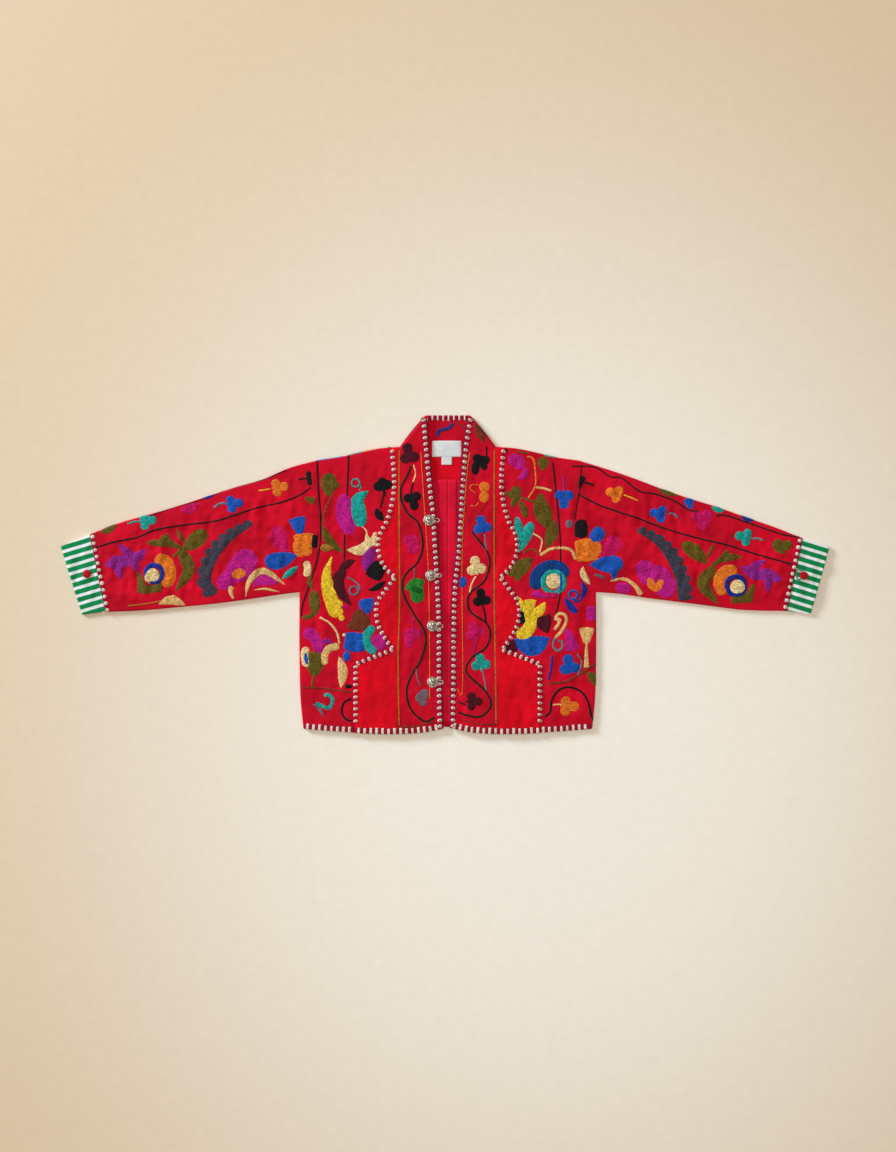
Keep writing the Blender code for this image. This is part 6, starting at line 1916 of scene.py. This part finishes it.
def cuff_seam_path(side):
    """Places across the end of the sleeve, just before the cuff."""
    across = np.linspace(0.0, 1.0, 24)
    out, up = sleeve_plan(side, np.full(24, 0.993), across)
    return np.stack([BODY_CENTRE_X + side * out, up], axis=1)


def cuff_stitches(patches, side):
    """Binding and square stitches along one cuff seam."""
    path = cuff_seam_path(side)
    binding(patches, path, CUFF_BINDING_WIDTH, 0.0)
    line, run = smooth_path(path, 0.001)
    way = (line[-1] - line[0]) / np.linalg.norm(line[-1] - line[0])
    for place in np.arange(SQUARE_PITCH * 0.5, run[-1], SQUARE_PITCH):
        centre = np.array([np.interp(place, run, line[:, k]) for k in (0, 1)])
        size = SQUARE_SIZE * CHANCE.uniform(0.9, 1.08)
        half, dot, dot_width = way * size / 2, way * size / 5, size * SQUARE_DOT_WIDTH
        patches.stroke("stitch_cream", [centre - half, centre + half], size, "block", SQUARE_RISE, 1)
        patches.stroke("stitch_pink", [centre - dot, centre + dot], dot_width, "even", SQUARE_RISE, 2)


def rim_wrap(base, inwards, thickness, level, reach_top, reach_under, rises, surface=surface_height):
    """Outer and inner skins of sewing that wraps a cloth edge, in rows from the top to the underside."""
    top = np.concatenate([[reach_top, reach_top - RIM_END_SPAN * 0.35, reach_top - RIM_END_SPAN],
                          np.linspace(reach_top - RIM_END_SPAN, 0, 4)[1:]])
    under = np.linspace(0, reach_under, 3)
    skins = []
    sunk = np.full(len(rises), -WRAP_SINK)
    for rise, lowest, fades in ((rises, WRAP_LOWEST, True), (sunk, WRAP_LOWEST + WRAP_SINK, False)):
        rows = []
        for offset in top:
            place = base + inwards * offset
            fade = math.sqrt(min(max((reach_top - offset) / RIM_END_SPAN, 0.0), 1.0)) if fades else 1.0
            height = surface(place[:, 0], place[:, 1]) + level + rise * fade
            rows.append(np.column_stack([place, height]))
        edge = surface(base[:, 0], base[:, 1]) + level
        for angle in np.linspace(0, math.pi, RIM_TURNS + 2)[1:-1]:
            radius = thickness / 2 + rise
            place = base - inwards * (math.sin(angle) * radius)[:, None]
            rows.append(np.column_stack([place, edge - thickness / 2 + math.cos(angle) * radius]))
        for offset in under:
            place = base + inwards * offset
            rows.append(np.column_stack([place, edge - thickness - rise]))
        skin = np.stack(rows)
        skin[..., 2] = np.maximum(skin[..., 2], lowest)
        skins.append(skin)
    return skins


class Wraps:
    """Sewing round cloth edges, gathered by colour."""

    def __init__(self):
        """Starts with no parts."""
        self.parts = {}

    def add(self, colour, skins):
        """Adds one wrap, given as its outer and inner skins."""
        self.parts.setdefault(colour, []).append(closed_skins(*skins, bulge=0.0))

    def meshes(self, prefix, finish):
        """Makes one mesh for each colour."""
        for colour, parts in self.parts.items():
            points = np.concatenate([part[0] for part in parts])
            first, faces = 0, []
            for part_points, part_faces in parts:
                faces.extend((part_faces + first).tolist())
                first += len(part_points)
            piece = made_mesh(f"{prefix}_{colour}", points, faces, points[:, :2])
            piece.data.materials.append(finish(colour))
            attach(piece, "root")


def edge_frame(path):
    """Places along an edge and the ways inwards from it, which lie to the left of the path."""
    line, run = smooth_path(path, 0.0012)
    tangent = np.gradient(line, axis=0)
    tangent /= np.linalg.norm(tangent, axis=1)[:, None]
    return line, run, np.stack([-tangent[:, 1], tangent[:, 0]], axis=1)


# A bar's points across and its profile's power, its place at a row's start and end, and its sizes' spread.
BAR_POINTS, BAR_POWER, BAR_START, BAR_END = 7, 4, 0.5, 0.55
BAR_NARROWEST, BAR_WIDEST, BAR_SHORTEST, BAR_LONGEST = 0.88, 1.08, 0.92, 1.05


def wrap_edge(
    wraps, path, thickness, level, pitch, reach, bar_width=BAR_WIDTH, bars=True, surface=surface_height
):
    """Crimson binding round an edge and, if bars is set, cream bars over it."""
    line, run, inwards = edge_frame(path)
    every = slice(None, None, 2)
    rises = np.full(len(line[every]), BINDING_RISE)
    wraps.add("binding_crimson",
              rim_wrap(line[every], inwards[every], thickness, level, reach, RIM_UNDER, rises, surface))
    if not bars:
        return
    across = np.linspace(-1, 1, BAR_POINTS)
    profile = -EMBROIDERY_SINK + (BAR_RISE + EMBROIDERY_SINK) * (1 - np.abs(across) ** BAR_POWER)
    for place in np.arange(pitch * BAR_START, run[-1] - bar_width * BAR_END, pitch):
        width = bar_width * CHANCE.uniform(BAR_NARROWEST, BAR_WIDEST)
        places = place + across * width / 2
        base = np.stack([np.interp(places, run, line[:, k]) for k in (0, 1)], axis=1)
        ways = np.stack([np.interp(places, run, inwards[:, k]) for k in (0, 1)], axis=1)
        long = reach * CHANCE.uniform(BAR_SHORTEST, BAR_LONGEST)
        wraps.add("stitch_cream", rim_wrap(base, ways, thickness, level, long, RIM_UNDER, profile, surface))


# Button loops of thread, in pixels from the button's middle: one by each metal button, one on the left cuff.
METAL_LOOP = ((4.0, -2.0), (9.6, -1.4), (9.8, 1.2), (4.2, 2.0))
CUFF_LOOP = ((-1.0, -4.6), (-6.0, -5.6), (-7.4, -1.0), (-6.4, 3.6), (-1.0, 3.2))
LOOP_WIDTH = 0.0022


def loops(patches):
    """The thread loops that hold the buttons."""
    rows = [(f"button_{number}", METAL_LOOP, "loop_grey") for number in range(1, 5)]
    for node_name, places, colour in rows + [("cuff_button_left", CUFF_LOOP, "loop_green")]:
        low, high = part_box(node_name)
        middle = np.array([(low.x + high.x) / 2, (low.y + high.y) / 2])
        path = [middle + np.array([right, -down]) * PIXEL for right, down in places]
        patches.stroke(colour, path, LOOP_WIDTH, "even", 0.0013, 2)


def hem_path(side, from_out, to_out):
    """Places along the front's hem with the cloth on the path's left, between two distances out."""
    outs = np.linspace(from_out, to_out, 14)
    line = np.stack([BODY_CENTRE_X + side * outs, curve_through(FRONT_HEM, outs)], axis=1)
    return line if side == LEFT else line[::-1]


def stitch_material(colour):
    """The material of one colour of sewing thread."""
    return thread(colour, screen_colour(THREAD_COLOURS[colour]), row=1.5, stitch=9.0, contrast=0.55)


# Height where a band's edge meets the hem, the hem bars' clearance from it, and the band stitches' inset.
BAND_HEM_UP, HEM_CLEAR, BAND_STITCH_INSET = -0.274, 0.001, 0.0046


def edge_sewing():
    """Binding and stitches along the front edges, the overlays, the cuffs, the hem and the collar's top."""
    patches, wraps = Patches(), Wraps()
    for side in SIDES:
        path = band_edge_path(side, 0.0)
        inward_left = path if side == RIGHT else path[::-1]
        wrap_edge(wraps, inward_left, BAND_WALL, LAYER_LIFT, STITCH_PITCH, BINDING_WIDTH, bars=False)
        inset = band_edge_path(side, BAND_STITCH_INSET)
        oval_stitches(patches, inset, LAYER_LIFT + BINDING_RISE, STITCH_TILT * side)
        for path in scallop_paths(side):
            binding(patches, path, SCALLOP_BINDING_WIDTH, overlay_level)
            oval_stitches(patches, path, overlay_level, STITCH_TILT * side)
        cuff_stitches(patches, side)
        block = OVERLAY_BLOCK[0][1]
        edge = float(band_edge_out(side, BAND_HEM_UP))
        block_hem = hem_path(side, edge + HEM_CLEAR, block)
        front_hem = hem_path(side, block + HEM_CLEAR, FRONT_HEM[-1][0] - 2 * HEM_CLEAR)
        wrap_edge(wraps, block_hem, BODY_WALL + LAYER_LIFT, LAYER_LIFT, STITCH_PITCH, BAR_REACH)
        wrap_edge(wraps, front_hem, BODY_WALL, 0.0, STITCH_PITCH, BAR_REACH)
    loops(patches)
    collar_path = [(COLLAR_BARS_FROM, COLLAR_BARS_UP), (COLLAR_BARS_TO, COLLAR_BARS_UP)]
    wrap_edge(wraps, collar_path, COLLAR_WALL, 0.0, COLLAR_BAR_PITCH, COLLAR_BAR_REACH, COLLAR_BAR_WIDTH,
              surface=collar_surface)
    patches.meshes("sewing", stitch_material)
    wraps.meshes("edge", stitch_material)


def write_sizes():
    """Brings the view layer up to date."""
    bpy.context.view_layer.update()


def main():
    """Builds the whole scene."""
    camera()
    floor()
    lights()
    back_panel()
    collar()
    neck_facing()
    lining()
    for side in SIDES:
        front_panel(side)
        overlay(side)
        band(side)
        sleeve(side)
        cuff(side)
    label("neck_label", "woven_label")
    label("size_tab", "woven_tab")
    buttons()
    embroidery()
    edge_sewing()


main()
write_sizes()
